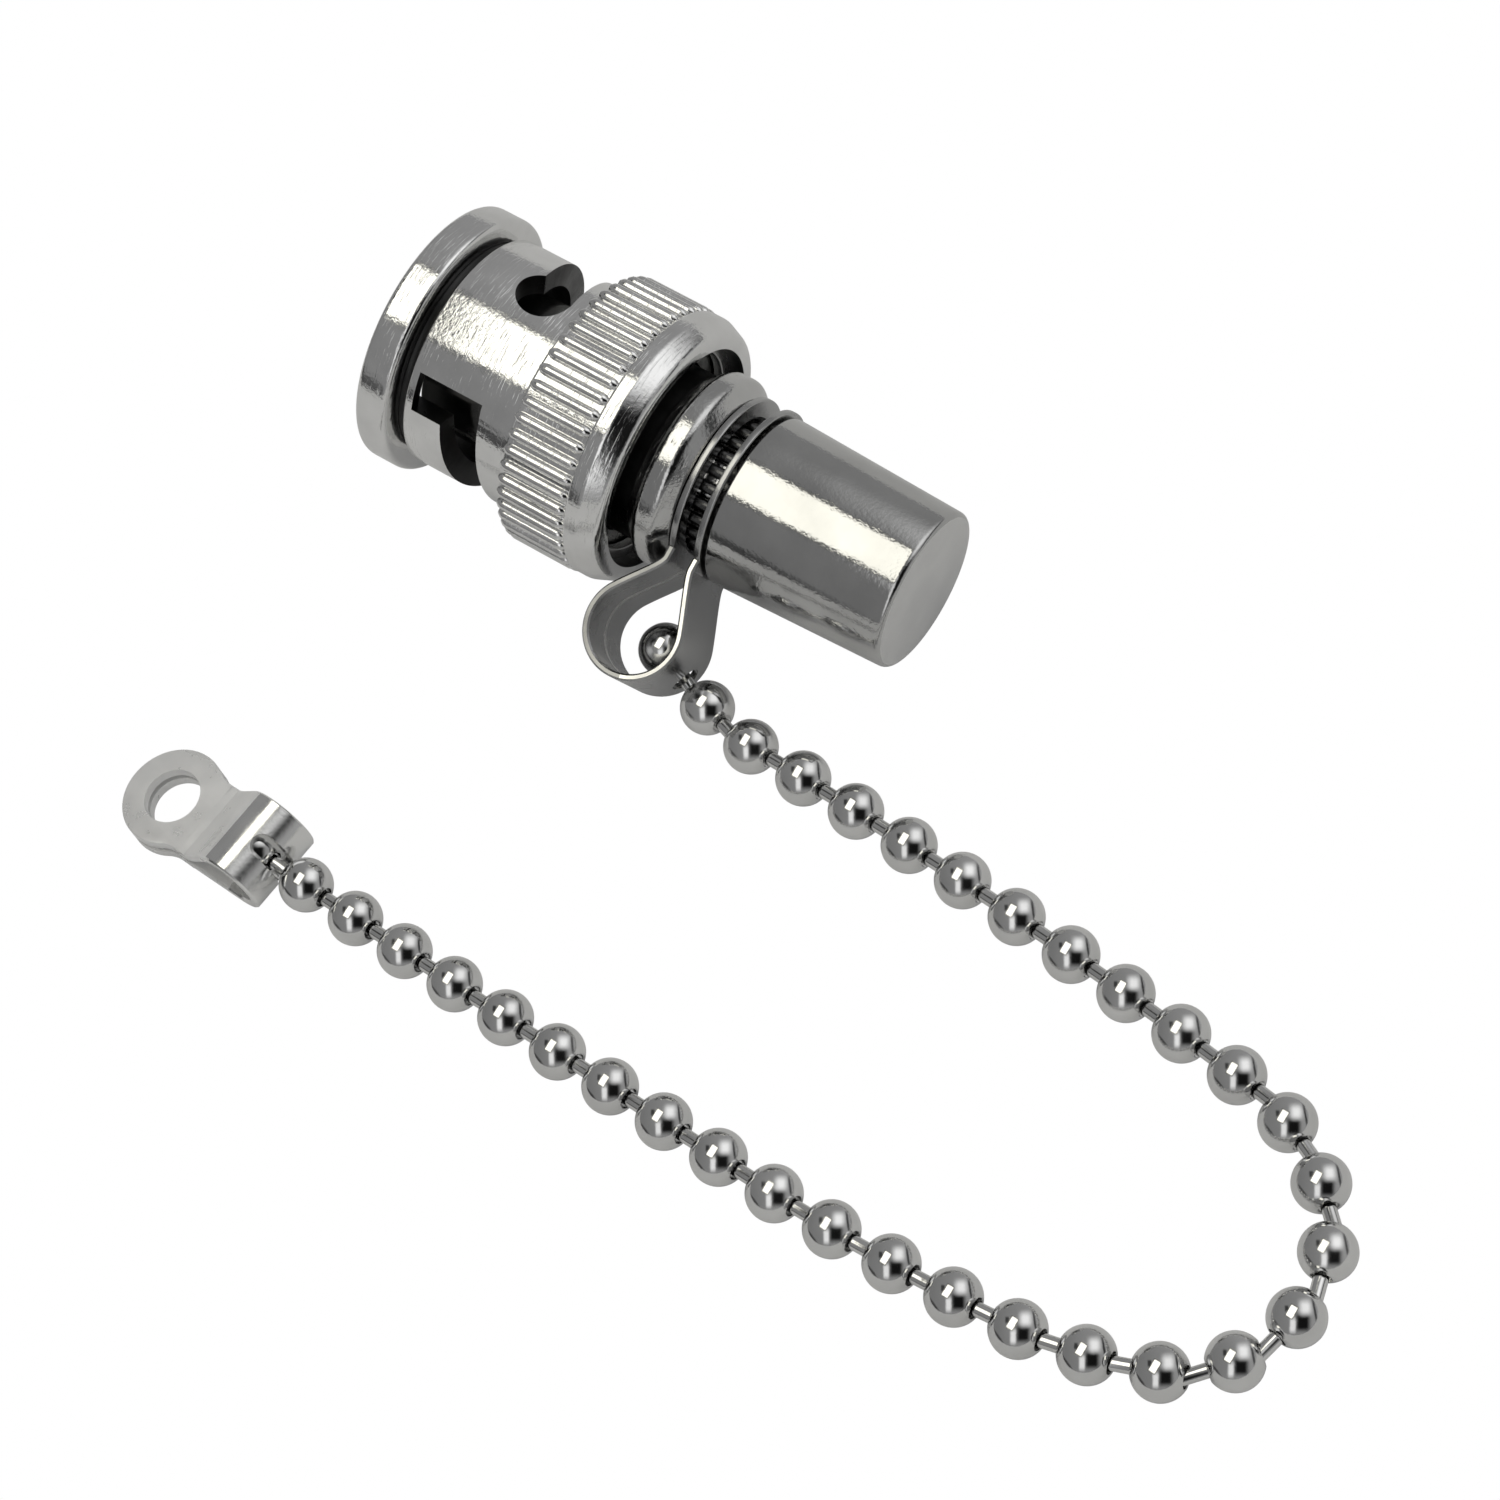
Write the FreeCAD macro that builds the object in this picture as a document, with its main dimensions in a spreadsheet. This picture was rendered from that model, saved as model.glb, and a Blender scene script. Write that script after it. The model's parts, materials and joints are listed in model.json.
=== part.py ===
import FreeCAD, Part
import math
import os
import Sketcher

# A 50-ohm coaxial terminator: a bayonet plug with a load resistor in its cap, a strap clip round its neck,
# and a bead chain that ends in a ring terminal. Millimetres. The plug is drawn along X with its mouth at
# the origin, then tipped until the knurl and the cap's end both rest on the table.

Vector = FreeCAD.Vector
Rotation = FreeCAD.Rotation
Placement = FreeCAD.Placement

SIZES = {
    # coupling nut
    "rim_radius": 6.9,
    "rim_width": 1.8,
    "rim_round": 0.3,
    "rim_groove_radius": 5.6,
    "rim_groove_width": 0.6,
    "barrel_radius": 6.1,
    "bore_radius": 4.9,
    "mouth_chamfer": 0.4,
    "knurl_length": 3.95,
    "knurl_radius": 7.25,
    "knurl_depth": 0.35,
    "knurl_ribs": 50,
    "shoulder_length": 1.85,
    "shoulder_radius": 7.15,
    "shoulder_round": 0.9,
    "cavity_radius": 5.9,
    "snap_groove_width": 0.6,
    "snap_groove_lip": 0.9,
    "snap_groove_radius": 6.25,
    # bayonet slots
    "slot_width": 2.15,
    "slot_channel_radius": 5.65,
    "slot_entry_angle": 52,
    "slot_turn": 108,
    "slot_start": 5.4,
    "slot_end": 6.6,
    "slot_hole_radius": 1.45,
    "slot_hole_station": 6.2,
    # plug body
    "seat_station": 8.8,
    "nose_radius": 4.8,
    "nose_length": 0.4,
    "flange_length": 2.0,
    "flange_radius": 5.7,
    "flange_clearance": 0.1,
    "collar_gap": 0.2,
    "collar_length": 2.4,
    "collar_rise": 0.7,
    "collar_root_radius": 4.5,
    "collar_radius": 5.2,
    "collar_round": 0.5,
    "neck_length": 2.3,
    "neck_radius": 3.6,
    "neck_rib_depth": 0.3,
    "neck_ribs": 24,
    "spigot_length": 4.1,
    "spigot_radius": 3.3,
    "rear_bore_radius": 2.4,
    "web_gap": 2.0,
    "web_length": 1.0,
    "web_bore_radius": 1.7,
    # contacts and insulators
    "sleeve_front": 2.0,
    "sleeve_seat_depth": 1.8,
    "sleeve_radius": 4.15,
    "sleeve_wall": 0.4,
    "sleeve_slot_width": 0.35,
    "sleeve_slot_length": 5.8,
    "insulator_nose_front": 4.2,
    "insulator_base_front": 8.6,
    "insulator_nose_radius": 2.35,
    "insulator_nose_bore": 1.25,
    "pin_front": 3.0,
    "pin_radius": 0.675,
    "pin_shank_radius": 1.1,
    "pin_cup_gap": 0.8,
    "pin_cup_depth": 1.2,
    "lead_radius": 0.38,
    "lead_clearance": 0.04,
    "gasket_thickness": 0.7,
    "gasket_wall": 0.5,
    "gasket_clearance": 0.1,
    # spring set behind the flange
    "spring_wall": 0.2,
    "spring_height": 1.45,
    "spring_inner_radius": 4.65,
    "spring_outer_radius": 5.8,
    "washer_thickness": 0.3,
    "running_gap": 0.05,
    "snap_ring_inner_radius": 5.35,
    "snap_ring_outer_radius": 6.15,
    "snap_ring_gap": 2.0,
    # load resistor and its earth disc
    "resistor_gap": 2.8,
    "resistor_length": 6.2,
    "resistor_radius": 1.75,
    "rear_lead_length": 2.0,
    "disc_thickness": 0.6,
    # end cap
    "cap_length": 9.5,
    "cap_front_radius": 4.5,
    "cap_end_radius": 4.16,
    "cap_end_round": 0.35,
    "cap_floor_gap": 0.3,
    # strap clip
    "clip_sheet": 0.35,
    "clip_front_gap": 0.125,
    "clip_spacing": 1.4,
    "clip_ring_radius": 4.7,
    "clip_clearance": 0.15,
    "clip_width": 5.2,
    "clip_droop": 19,
    "clip_neck": 4.75,
    "clip_loop_radius": 2.4,
    "clip_loop_rise": 3.55,
    "clip_loop_ahead": 0.45,
    "clip_hole_radius": 0.75,
    # bead chain
    "bead_radius": 1.35,
    "bead_pitch": 3.38,
    "bead_hole_radius": 0.52,
    "bead_lip": 0.2,
    "bead_cavity_radius": 0.73,
    "bead_cavity_depth": 0.74,
    "link_radius": 0.34,
    "link_head_radius": 0.54,
    "link_head_reach": 0.44,
    "link_head_bevel": 0.14,
    "first_link_extra": 0.45,
    "held_bead_back": 0.65,
    "held_bead_out": 0.15,
    "held_bead_drop": 1.3,
    # ring terminal
    "ring_sheet": 0.55,
    "ring_leaf_gap": 0.3,
    "ring_fold_clearance": 0.06,
    "ring_width": 4.3,
    "ring_taper_length": 3.5,
    "ring_eye_reach": 6.4,
    "ring_eye_radius": 2.7,
    "ring_hole_radius": 1.5,
    "ring_slot_width": 1.5,
    "ring_slot_low": -40,
    "ring_slot_high": 50,
}

# Stations are distances back from the nut's mouth. They run on from one piece to the next.
FLANGE_FRONT = "seat_station + nose_length"
FLANGE_REAR = FLANGE_FRONT + " + flange_length"
WEB_FRONT = "seat_station + sleeve_seat_depth + web_gap"
WEB_REAR = WEB_FRONT + " + web_length"
SNAP_FRONT = FLANGE_REAR + " + spring_height + washer_thickness + running_gap"
SNAP_REAR = SNAP_FRONT + " + snap_groove_width"
NUT_REAR = SNAP_REAR + " + snap_groove_lip"
KNURL_REAR = NUT_REAR + " - shoulder_length"
KNURL_FRONT = KNURL_REAR + " - knurl_length"
COLLAR_FRONT = NUT_REAR + " + collar_gap"
COLLAR_REAR = COLLAR_FRONT + " + collar_length"
CAP_FRONT = COLLAR_REAR + " + neck_length"
CAP_REAR = CAP_FRONT + " + cap_length"
BODY_REAR = CAP_FRONT + " + spigot_length"
RESISTOR_FRONT = WEB_REAR + " + resistor_gap"
RESISTOR_REAR = RESISTOR_FRONT + " + resistor_length"
DISC_FRONT = RESISTOR_REAR + " + rear_lead_length"
DISC_REAR = DISC_FRONT + " + disc_thickness"
PIN_REAR = RESISTOR_FRONT + " - pin_cup_gap"
PIN_SHOULDER = "insulator_base_front + lead_radius"

# The chain's lie on the table, as stretches of so many beads that turn by so many degrees in all.
HELD_HEADING = 153.6
FIRST_HEADING = 160.2
RUN_HEADING = 174.6
STRETCH_COUNTS = (9, 2, 4, 2, 4, 10)
STRETCH_DEGREES = (-5.6, -33.4, -118.5, -15, -6.8, -0.6)
BEAD_SIDES = 12
BEAD_ROWS = 6

doc = FreeCAD.newDocument("coaxial_terminator")
sheet = doc.addObject("Spreadsheet::Sheet", "sizes")
for row, (alias, number) in enumerate(SIZES.items(), start=1):
    sheet.set("A%d" % row, alias.replace("_", " "))
    sheet.set("B%d" % row, str(number))
    sheet.setAlias("B%d" % row, alias)
doc.recompute()


def size(text):
    """The number that a sum of sizes gives, such as 'rim_width + 0.5*slot_width'."""
    total, sign = 0.0, 1.0
    for token in text.split():
        if token in "+-":
            sign = 1.0 if token == "+" else -1.0
            continue
        factor, _, name = token.rpartition("*")
        number = float(sheet.get(name)) if name in SIZES else float(name)
        total += sign * float(factor or 1) * number
        sign = 1.0
    return total


def bound(text):
    """The same sum as an expression on the sheet's cells."""
    words = []
    for token in text.split():
        factor, star, name = token.rpartition("*")
        words.append(factor + star + ("sizes." + name if name in SIZES else name))
    return " ".join(words)


def behind(text):
    """A station as a place on the axis, which runs forward from the mouth: the sum with its signs turned."""
    signs = {"+": "-", "-": "+"}
    return "- " + " ".join(signs.get(token, token) for token in text.split())


def bind(item, **sums):
    """Ties an object's properties to sums of sizes."""
    for name, text in sums.items():
        item.setExpression(name, bound(text))


# Everything on the plug is tipped by this much, so that the knurl's rear edge and the cap's end touch the table.
rest_run = size(CAP_REAR + " - cap_end_round") - size(KNURL_REAR)
TILT = math.atan2(size("knurl_radius - cap_end_radius"), rest_run)
PLUG = Placement(Vector(0, 0, 0), Rotation(Vector(0, 1, 0), -math.degrees(TILT)))
AXIS = PLUG.multVec(Vector(1, 0, 0))
knurl_rear = PLUG.multVec(Vector(-size(KNURL_REAR), 0, -size("knurl_radius")))
TABLE = knurl_rear.z

nodes = []


def keep(item, label, place=PLUG):
    """Labels a finished sub-part, sets it in its place and lists it for export."""
    item.Label = label
    item.Placement = place
    nodes.append(item)
    return item


def turned(name, outline):
    """A body turned about X from a closed outline of (station, radius) sums."""
    body = doc.addObject("PartDesign::Body", name)
    sketch = body.newObject("Sketcher::SketchObject", name + "_outline")
    plane = [f for f in body.Origin.OriginFeatures if f.Role == "XY_Plane"][0]
    sketch.AttachmentSupport = [(plane, "")]
    sketch.MapMode = "FlatFace"
    spots = [Vector(size(x), size(r), 0) for x, r in outline]
    for i, spot in enumerate(spots):
        sketch.addGeometry(Part.LineSegment(spot, spots[(i + 1) % len(spots)]), False)
    for i in range(len(spots)):
        sketch.addConstraint(Sketcher.Constraint("Coincident", i, 2, (i + 1) % len(spots), 1))
    for i, (x, r) in enumerate(outline):
        for kind, axis, text in (("DistanceX", -2, x), ("DistanceY", -1, r)):
            if text == "0":
                sketch.addConstraint(Sketcher.Constraint("PointOnObject", i, 1, axis))
                continue
            where = sketch.addConstraint(Sketcher.Constraint(kind, -1, 1, i, 1, size(text)))
            sketch.setExpression("Constraints[%d]" % where, bound(text))
    spin = body.newObject("PartDesign::Revolution", name + "_spin")
    spin.Profile = sketch
    spin.ReferenceAxis = (sketch, ["H_Axis"])
    spin.Angle = 360
    body.Tip = spin
    doc.recompute()
    return body


def rounded(body, name, rings, radius, wall=None):
    """Fillets the circular edges that lie at the given (station, radius) sums, as far as the wall there allows."""
    wanted = [(size(x), size(r)) for x, r in rings]
    edges = []
    for number, edge in enumerate(body.Tip.Shape.Edges, start=1):
        if not isinstance(edge.Curve, Part.Circle):
            continue
        ring = (edge.Curve.Center.x, edge.Curve.Radius)
        if any(math.dist(ring, spot) < 0.01 for spot in wanted):
            edges.append("Edge%d" % number)
    base = body.Tip
    fillet = body.newObject("PartDesign::Fillet", name)
    fillet.Base = (base, edges)
    fillet.setExpression("Radius", "min(%s; %s)" % (bound(radius), bound(wall)) if wall else bound(radius))
    body.Tip = fillet
    doc.recompute()
    return body


def shaped(name, shape):
    """A feature that holds a shape made with Part's own functions."""
    item = doc.addObject("Part::Feature", name)
    item.Shape = shape
    return item


def fused(name, *items):
    item = doc.addObject("Part::MultiFuse", name)
    item.Shapes = list(items)
    return item


def cut(name, base, *tools):
    """The base less its tools."""
    tool = tools[0] if len(tools) == 1 else fused(name + "_tools", *tools)
    item = doc.addObject("Part::Cut", name)
    item.Base = base
    item.Tool = tool
    return item


def cylinder(name, station, radius, length, angle=0, lift=None, spread=360):
    """A cylinder along X from a station, or standing radially at an angle from the top when lift is given."""
    item = doc.addObject("Part::Cylinder", name)
    bind(item, Radius=radius, Height=length)
    item.Angle = spread
    if lift is None:
        item.Placement = Placement(Vector(size(station), 0, 0), Rotation(Vector(0, 1, 0), 90))
    else:
        turn = Rotation(Vector(1, 0, 0), -angle)
        item.Placement = Placement(Vector(size(station), 0, 0), turn)
    return item


def ribbed_ring(name, ribs, tip_radius, depth, front, length, bore):
    """A straight knurl: a ring whose rim is cut into ribs, its ends bevelled by the depth of a rib."""
    step = 2 * math.pi / ribs
    rim = []
    for rib in range(ribs):
        for share, radius in ((0.0, tip_radius - depth), (0.12, tip_radius - depth),
                              (0.36, tip_radius), (0.76, tip_radius)):
            angle = (rib + share) * step
            rim.append(Vector(0, radius * math.cos(angle), radius * math.sin(angle)))
    star = Part.Face(Part.makePolygon(rim + rim[:1])).extrude(Vector(-length, 0, 0))
    profile = [(0, 0), (0, tip_radius - depth), (-depth, tip_radius + 0.01),
               (-length + depth, tip_radius + 0.01), (-length, tip_radius - depth), (-length, 0)]
    spots = [Vector(x, r, 0) for x, r in profile]
    blank = Part.Face(Part.makePolygon(spots + spots[:1])).revolve(Vector(), Vector(1, 0, 0), 360)
    ring = star.common(blank).cut(Part.makeCylinder(bore, length, Vector(), Vector(-1, 0, 0)))
    ring.translate(Vector(-front, 0, 0))
    return shaped(name, ring)


# Coupling nut: turned brass with a rolled rim, a straight knurl and two bayonet slots.
nut = turned("nut_turning", (
    ("- mouth_chamfer", "bore_radius"), ("0", "bore_radius + mouth_chamfer"), ("0", "rim_radius"),
    ("- rim_width", "rim_radius"), ("- rim_width", "rim_groove_radius"),
    ("- rim_width - rim_groove_width", "rim_groove_radius"),
    ("- rim_width - rim_groove_width", "barrel_radius"),
    (behind(KNURL_REAR), "barrel_radius"), (behind(KNURL_REAR), "shoulder_radius"), (behind(NUT_REAR), "shoulder_radius"),
    (behind(NUT_REAR), "cavity_radius"), (behind(SNAP_REAR), "cavity_radius"),
    (behind(SNAP_REAR), "snap_groove_radius"),
    (behind(SNAP_FRONT), "snap_groove_radius"), (behind(SNAP_FRONT), "cavity_radius"),
    (behind(FLANGE_FRONT) + " + flange_clearance", "cavity_radius"),
    (behind(FLANGE_FRONT) + " + flange_clearance", "bore_radius")))
rounded(nut, "rim_rounding", (("0", "rim_radius"), ("- rim_width", "rim_radius")), "rim_round",
        "0.4*rim_radius - 0.4*rim_groove_radius")
rounded(nut, "shoulder_rounding", ((behind(NUT_REAR), "shoulder_radius"),), "shoulder_round",
        "0.9*shoulder_radius - 0.9*cavity_radius")
knurl = ribbed_ring("knurl", round(size("knurl_ribs")), size("knurl_radius"), size("knurl_depth"),
                    size(KNURL_FRONT), size("knurl_length"), size("0.5*barrel_radius + 0.5*cavity_radius"))


def bayonet_slot(name, turn):
    """A lead-in channel, a ramp round a quarter of the barrel and the round seat at its end."""
    side = size("slot_width")
    entry = turn + size("slot_entry_angle")
    about = Rotation(Vector(1, 0, 0), -entry)
    channel = doc.addObject("Part::Box", name + "_channel")
    bind(channel, Length="slot_start + mouth_chamfer", Width="slot_width", Height="slot_channel_radius")
    channel.Placement = Placement(about.multVec(Vector(-size("slot_start"), -side / 2, 0)), about)
    window = doc.addObject("Part::Box", name + "_window")
    bind(window, Length="slot_start - rim_width + 0.5*slot_width", Width="slot_width", Height="knurl_radius")
    back = -size("slot_start + 0.5*slot_width")
    window.Placement = Placement(about.multVec(Vector(back, -side / 2, 0)), about)
    ramp = cylinder(name + "_ramp", "0", "knurl_radius", "slot_width", spread=size("slot_turn"))
    middle = Rotation(Vector(1, 0, 0), -entry - size("slot_turn") / 2)
    rise = size("slot_end - slot_start")
    chord = 2 * size("barrel_radius") * math.sin(math.radians(size("slot_turn") / 2))
    lean = Rotation(Vector(0, 0, 1), math.degrees(math.atan2(rise, chord)))
    stand = Rotation(Vector(0, 1, 0), 90).multiply(Rotation(Vector(0, 0, 1), 180 - size("slot_turn") / 2))
    station = -size("0.5*slot_start + 0.5*slot_end + 0.5*slot_width")
    ramp.Placement = Placement(Vector(station, 0, 0), middle.multiply(lean).multiply(stand))
    seat = cylinder(name + "_seat", "- slot_hole_station", "slot_hole_radius", "knurl_radius",
                    angle=entry + size("slot_turn"), lift=True)
    return fused(name, channel, window, ramp, seat)


slots = [bayonet_slot("slot_%s" % side, turn) for side, turn in (("near", 0), ("far", 180))]
blank = fused("nut_blank", nut, knurl)
keep(cut("nut_cut", blank, *slots), "coupling_nut")

# Snap ring: an open ring of square wire sprung into the nut's rear groove.
snap_outer = cylinder("snap_outer", behind(SNAP_REAR), "snap_ring_outer_radius",
                      "snap_groove_width - running_gap")
snap_bore = cylinder("snap_bore", behind(NUT_REAR), "snap_ring_inner_radius", NUT_REAR)
snap_break = doc.addObject("Part::Box", "snap_break")
bind(snap_break, Length=NUT_REAR, Width="snap_ring_gap", Height="knurl_radius")
snap_break.Placement = Placement(Vector(-size(NUT_REAR), -size("0.5*snap_ring_gap"), -size("knurl_radius")),
                                 Rotation())
keep(cut("snap_cut", snap_outer, snap_bore, snap_break), "snap_ring")

# Thrust washer: the flat washer that the snap ring turns against.
washer_rear = behind(SNAP_FRONT) + " + running_gap"
washer_disc = cylinder("washer_disc", washer_rear, "spring_outer_radius", "washer_thickness")
washer_bore = cylinder("washer_bore", behind(NUT_REAR), "spring_inner_radius", NUT_REAR)
keep(cut("washer_cut", washer_disc, washer_bore), "thrust_washer")

# Wave spring: a flat ring pressed into three waves, between the flange and the thrust washer.
wave_count = 3
wave_swing = size("0.5*spring_height - 0.5*spring_wall")


def wavy_ring(radius):
    """A closed smooth curve that rises and falls three times round the axis."""
    spots = []
    for step in range(8 * wave_count):
        angle = 2 * math.pi * step / (8 * wave_count)
        height = -size(FLANGE_REAR) - wave_swing * (1 - 0.96 * math.cos(wave_count * angle))
        spots.append(Vector(height, radius * math.cos(angle), radius * math.sin(angle)))
    curve = Part.BSplineCurve()
    curve.interpolate(spots, PeriodicFlag=True)
    return curve.toShape()


wave_face = Part.makeRuledSurface(wavy_ring(size("spring_inner_radius")), wavy_ring(size("spring_outer_radius")))
keep(shaped("wave", wave_face.extrude(Vector(-size("spring_wall"), 0, 0))), "wave_spring")

# Plug body: flange, rounded collar, ribbed neck and the spigot that the cap is pressed on.
core = turned("body_turning", (
    ("- seat_station", "sleeve_radius"), ("- seat_station", "nose_radius"),
    (behind(FLANGE_FRONT), "nose_radius"), (behind(FLANGE_FRONT), "flange_radius"),
    (behind(FLANGE_REAR), "flange_radius"), (behind(FLANGE_REAR), "collar_root_radius"),
    (behind(COLLAR_FRONT), "collar_root_radius"), (behind(COLLAR_FRONT) + " - collar_rise", "collar_radius"),
    (behind(COLLAR_REAR) + " + collar_rise", "collar_radius"), (behind(COLLAR_REAR), "collar_root_radius"),
    (behind(COLLAR_REAR), "neck_radius - 2*neck_rib_depth"),
    (behind(CAP_FRONT), "neck_radius - 2*neck_rib_depth"),
    (behind(CAP_FRONT), "spigot_radius"), (behind(BODY_REAR), "spigot_radius"),
    (behind(BODY_REAR), "rear_bore_radius"), (behind(WEB_REAR), "rear_bore_radius"),
    (behind(WEB_REAR), "web_bore_radius"), (behind(WEB_FRONT), "web_bore_radius"),
    (behind(WEB_FRONT), "sleeve_radius - sleeve_wall"),
    ("- seat_station - sleeve_seat_depth", "sleeve_radius - sleeve_wall"),
    ("- seat_station - sleeve_seat_depth", "sleeve_radius")))
rounded(core, "collar_rounding", ((behind(COLLAR_FRONT) + " - collar_rise", "collar_radius"),
                                  (behind(COLLAR_REAR) + " + collar_rise", "collar_radius")), "collar_round")
neck_knurl = ribbed_ring("neck_knurl", round(size("neck_ribs")), size("neck_radius"), size("neck_rib_depth"),
                         size(COLLAR_REAR), size("neck_length"), size("neck_radius - 2.5*neck_rib_depth"))
keep(fused("body_fused", core, neck_knurl), "plug_body")

# Contact sleeve: the spring-fingered outer contact, pressed into the body's front.
sleeve_length = "seat_station + sleeve_seat_depth - sleeve_front"
sleeve_tube = cylinder("sleeve_tube", "- seat_station - sleeve_seat_depth", "sleeve_radius", sleeve_length)
sleeve_bore = cylinder("sleeve_bore", behind(NUT_REAR), "sleeve_radius - sleeve_wall", NUT_REAR)
sleeve_cuts = []
for name, turn in (("upright", 0), ("level", 90)):
    saw = doc.addObject("Part::Box", "sleeve_saw_" + name)
    bind(saw, Length="sleeve_slot_length", Width="sleeve_slot_width", Height="2*sleeve_radius + sleeve_slot_width")
    about = Rotation(Vector(1, 0, 0), turn)
    corner = Vector(-size("sleeve_front + sleeve_slot_length"), -size("0.5*sleeve_slot_width"),
                    -size("sleeve_radius + 0.5*sleeve_slot_width"))
    saw.Placement = Placement(about.multVec(corner), about)
    sleeve_cuts.append(saw)
keep(cut("sleeve_cut", sleeve_tube, sleeve_bore, *sleeve_cuts), "contact_sleeve")

# Front insulator: the moulded bead that centres the pin, with a hollow nose for the mating contact.
keep(turned("insulator_turning", (
    ("- insulator_nose_front", "insulator_nose_bore"), ("- insulator_nose_front", "insulator_nose_radius"),
    ("- insulator_base_front", "insulator_nose_radius"),
    ("- insulator_base_front", "sleeve_radius - sleeve_wall"),
    (behind(WEB_FRONT), "sleeve_radius - sleeve_wall"), (behind(WEB_FRONT), "pin_shank_radius"),
    (behind(PIN_SHOULDER), "pin_shank_radius"),
    (behind(PIN_SHOULDER), "insulator_nose_bore"))), "front_insulator")

# Rear insulator: the bead in the body's web.
keep(turned("bead_turning", (
    (behind(WEB_FRONT), "pin_shank_radius"), (behind(WEB_FRONT), "web_bore_radius"),
    (behind(WEB_REAR), "web_bore_radius"), (behind(WEB_REAR), "pin_shank_radius"))), "rear_insulator")

# Centre pin: rounded tip, thicker shank, and a cup at the back for the resistor's lead.
keep(rounded(turned("pin_turning", (
    ("- pin_front", "0"), ("- pin_front", "pin_radius"),
    (behind(PIN_SHOULDER), "pin_radius"), (behind(PIN_SHOULDER), "pin_shank_radius"),
    (behind(PIN_REAR), "pin_shank_radius"), (behind(PIN_REAR), "lead_radius + lead_clearance"),
    (behind(PIN_REAR) + " + pin_cup_depth", "lead_radius + lead_clearance"),
    (behind(PIN_REAR) + " + pin_cup_depth", "0"))),
    "tip_rounding", (("- pin_front", "pin_radius"),), "0.75*pin_radius"), "center_pin")

# Gasket: the ring of silicone rubber round the sleeve's root.
gasket_face = "- seat_station"
gasket_disc = cylinder("gasket_disc", gasket_face, "sleeve_radius + gasket_clearance + gasket_wall",
                       "gasket_thickness")
gasket_bore = cylinder("gasket_bore", behind(NUT_REAR), "sleeve_radius + gasket_clearance", NUT_REAR)
keep(cut("gasket_cut", gasket_disc, gasket_bore), "gasket")

# Load resistor: a ceramic cylinder whose leads run to the pin's cup and to the earth disc.
keep(turned("resistor_turning", (
    (behind(PIN_REAR) + " + pin_cup_depth - lead_clearance", "0"),
    (behind(PIN_REAR) + " + pin_cup_depth - lead_clearance", "lead_radius"),
    (behind(RESISTOR_FRONT), "lead_radius"), (behind(RESISTOR_FRONT), "resistor_radius"),
    (behind(RESISTOR_REAR), "resistor_radius"), (behind(RESISTOR_REAR), "lead_radius"),
    (behind(DISC_REAR), "lead_radius"), (behind(DISC_REAR), "0"))), "load_resistor")

# Earth disc: the plate that joins the resistor's rear lead to the cap.
keep(turned("disc_turning", (
    (behind(DISC_FRONT), "lead_radius + lead_clearance"), (behind(DISC_FRONT), "spigot_radius"),
    (behind(DISC_REAR), "spigot_radius"), (behind(DISC_REAR), "lead_radius + lead_clearance"))), "earth_disc")

# End cap: a slightly tapered turned cap, pressed over the body's spigot.
keep(rounded(turned("cap_turning", (
    (behind(CAP_FRONT), "spigot_radius"), (behind(CAP_FRONT), "cap_front_radius"),
    (behind(CAP_REAR), "cap_end_radius"), (behind(CAP_REAR), "0"),
    (behind(DISC_REAR) + " - cap_floor_gap", "0"), (behind(DISC_REAR) + " - cap_floor_gap", "spigot_radius"))),
    "cap_rounding", ((behind(CAP_REAR), "cap_end_radius"),), "cap_end_round"), "end_cap")


def teardrop(middle, radius, first, second):
    """The outline of a loop: an arc about the middle, and the tangents that run in to two neck points."""
    corners = []
    for neck, side in ((first, 1), (second, -1)):
        away = neck - middle
        half = math.acos(radius / away.Length)
        angle = math.atan2(away.y, away.x) + side * half
        corners.append(middle + Vector(math.cos(angle), math.sin(angle), 0) * radius)
    far = middle - ((first + second) * 0.5 - middle).normalize() * radius
    edges = [Part.makeLine(first, corners[0]), Part.Arc(corners[0], far, corners[1]).toShape(),
             Part.makeLine(corners[1], second), Part.makeLine(second, first)]
    return Part.Face(Part.Wire(edges))


def folded_loop(middle, radius, first, second, sheet_thickness, width):
    """Sheet folded round a teardrop, standing on the XY plane and centred on it by its width."""
    half = sheet_thickness / 2
    spread = (first - second).normalize() * half
    outer = teardrop(middle, radius + half, first + spread, second - spread)
    inner = teardrop(middle, radius - half, first - spread, second + spread)
    loop = outer.cut(inner).extrude(Vector(0, 0, width))
    loop.translate(Vector(0, 0, -width / 2))
    return loop


def between(start, end, radius):
    """A round bar from one point to another."""
    run = end - start
    return Part.makeCylinder(radius, run.Length, start, run)


# The strap clip's own frame: x along the plug, y out from the neck and drooping, z square to both.
droop = Rotation(Vector(1, 0, 0), -size("clip_droop"))
CLIP = PLUG.multiply(Placement(Vector(0, 0, 0), droop))
front_ring = -size(COLLAR_REAR + " + clip_front_gap + 0.5*clip_sheet")
rear_ring = front_ring - size("clip_spacing")
loop_middle = Vector((front_ring + rear_ring) / 2 + size("clip_loop_ahead"), size("clip_neck + clip_loop_rise"), 0)

# The chain starts at the bead held in the clip's loop, and its next beads lie on the table.
arm = size("bead_radius - bead_lip")
held_place = Vector(-size("held_bead_back"), size("held_bead_out"), -size("held_bead_drop"))
held_bead = CLIP.multVec(loop_middle + held_place)
spans = [size("bead_pitch + first_link_extra")]
bead_level = TABLE + size("bead_radius")


def heading(degrees, climb=0.0):
    """A unit vector at so many degrees round from +X on the table, and so much up."""
    flat = math.cos(climb)
    return Vector(flat * math.cos(math.radians(degrees)), flat * math.sin(math.radians(degrees)), math.sin(climb))


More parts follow.
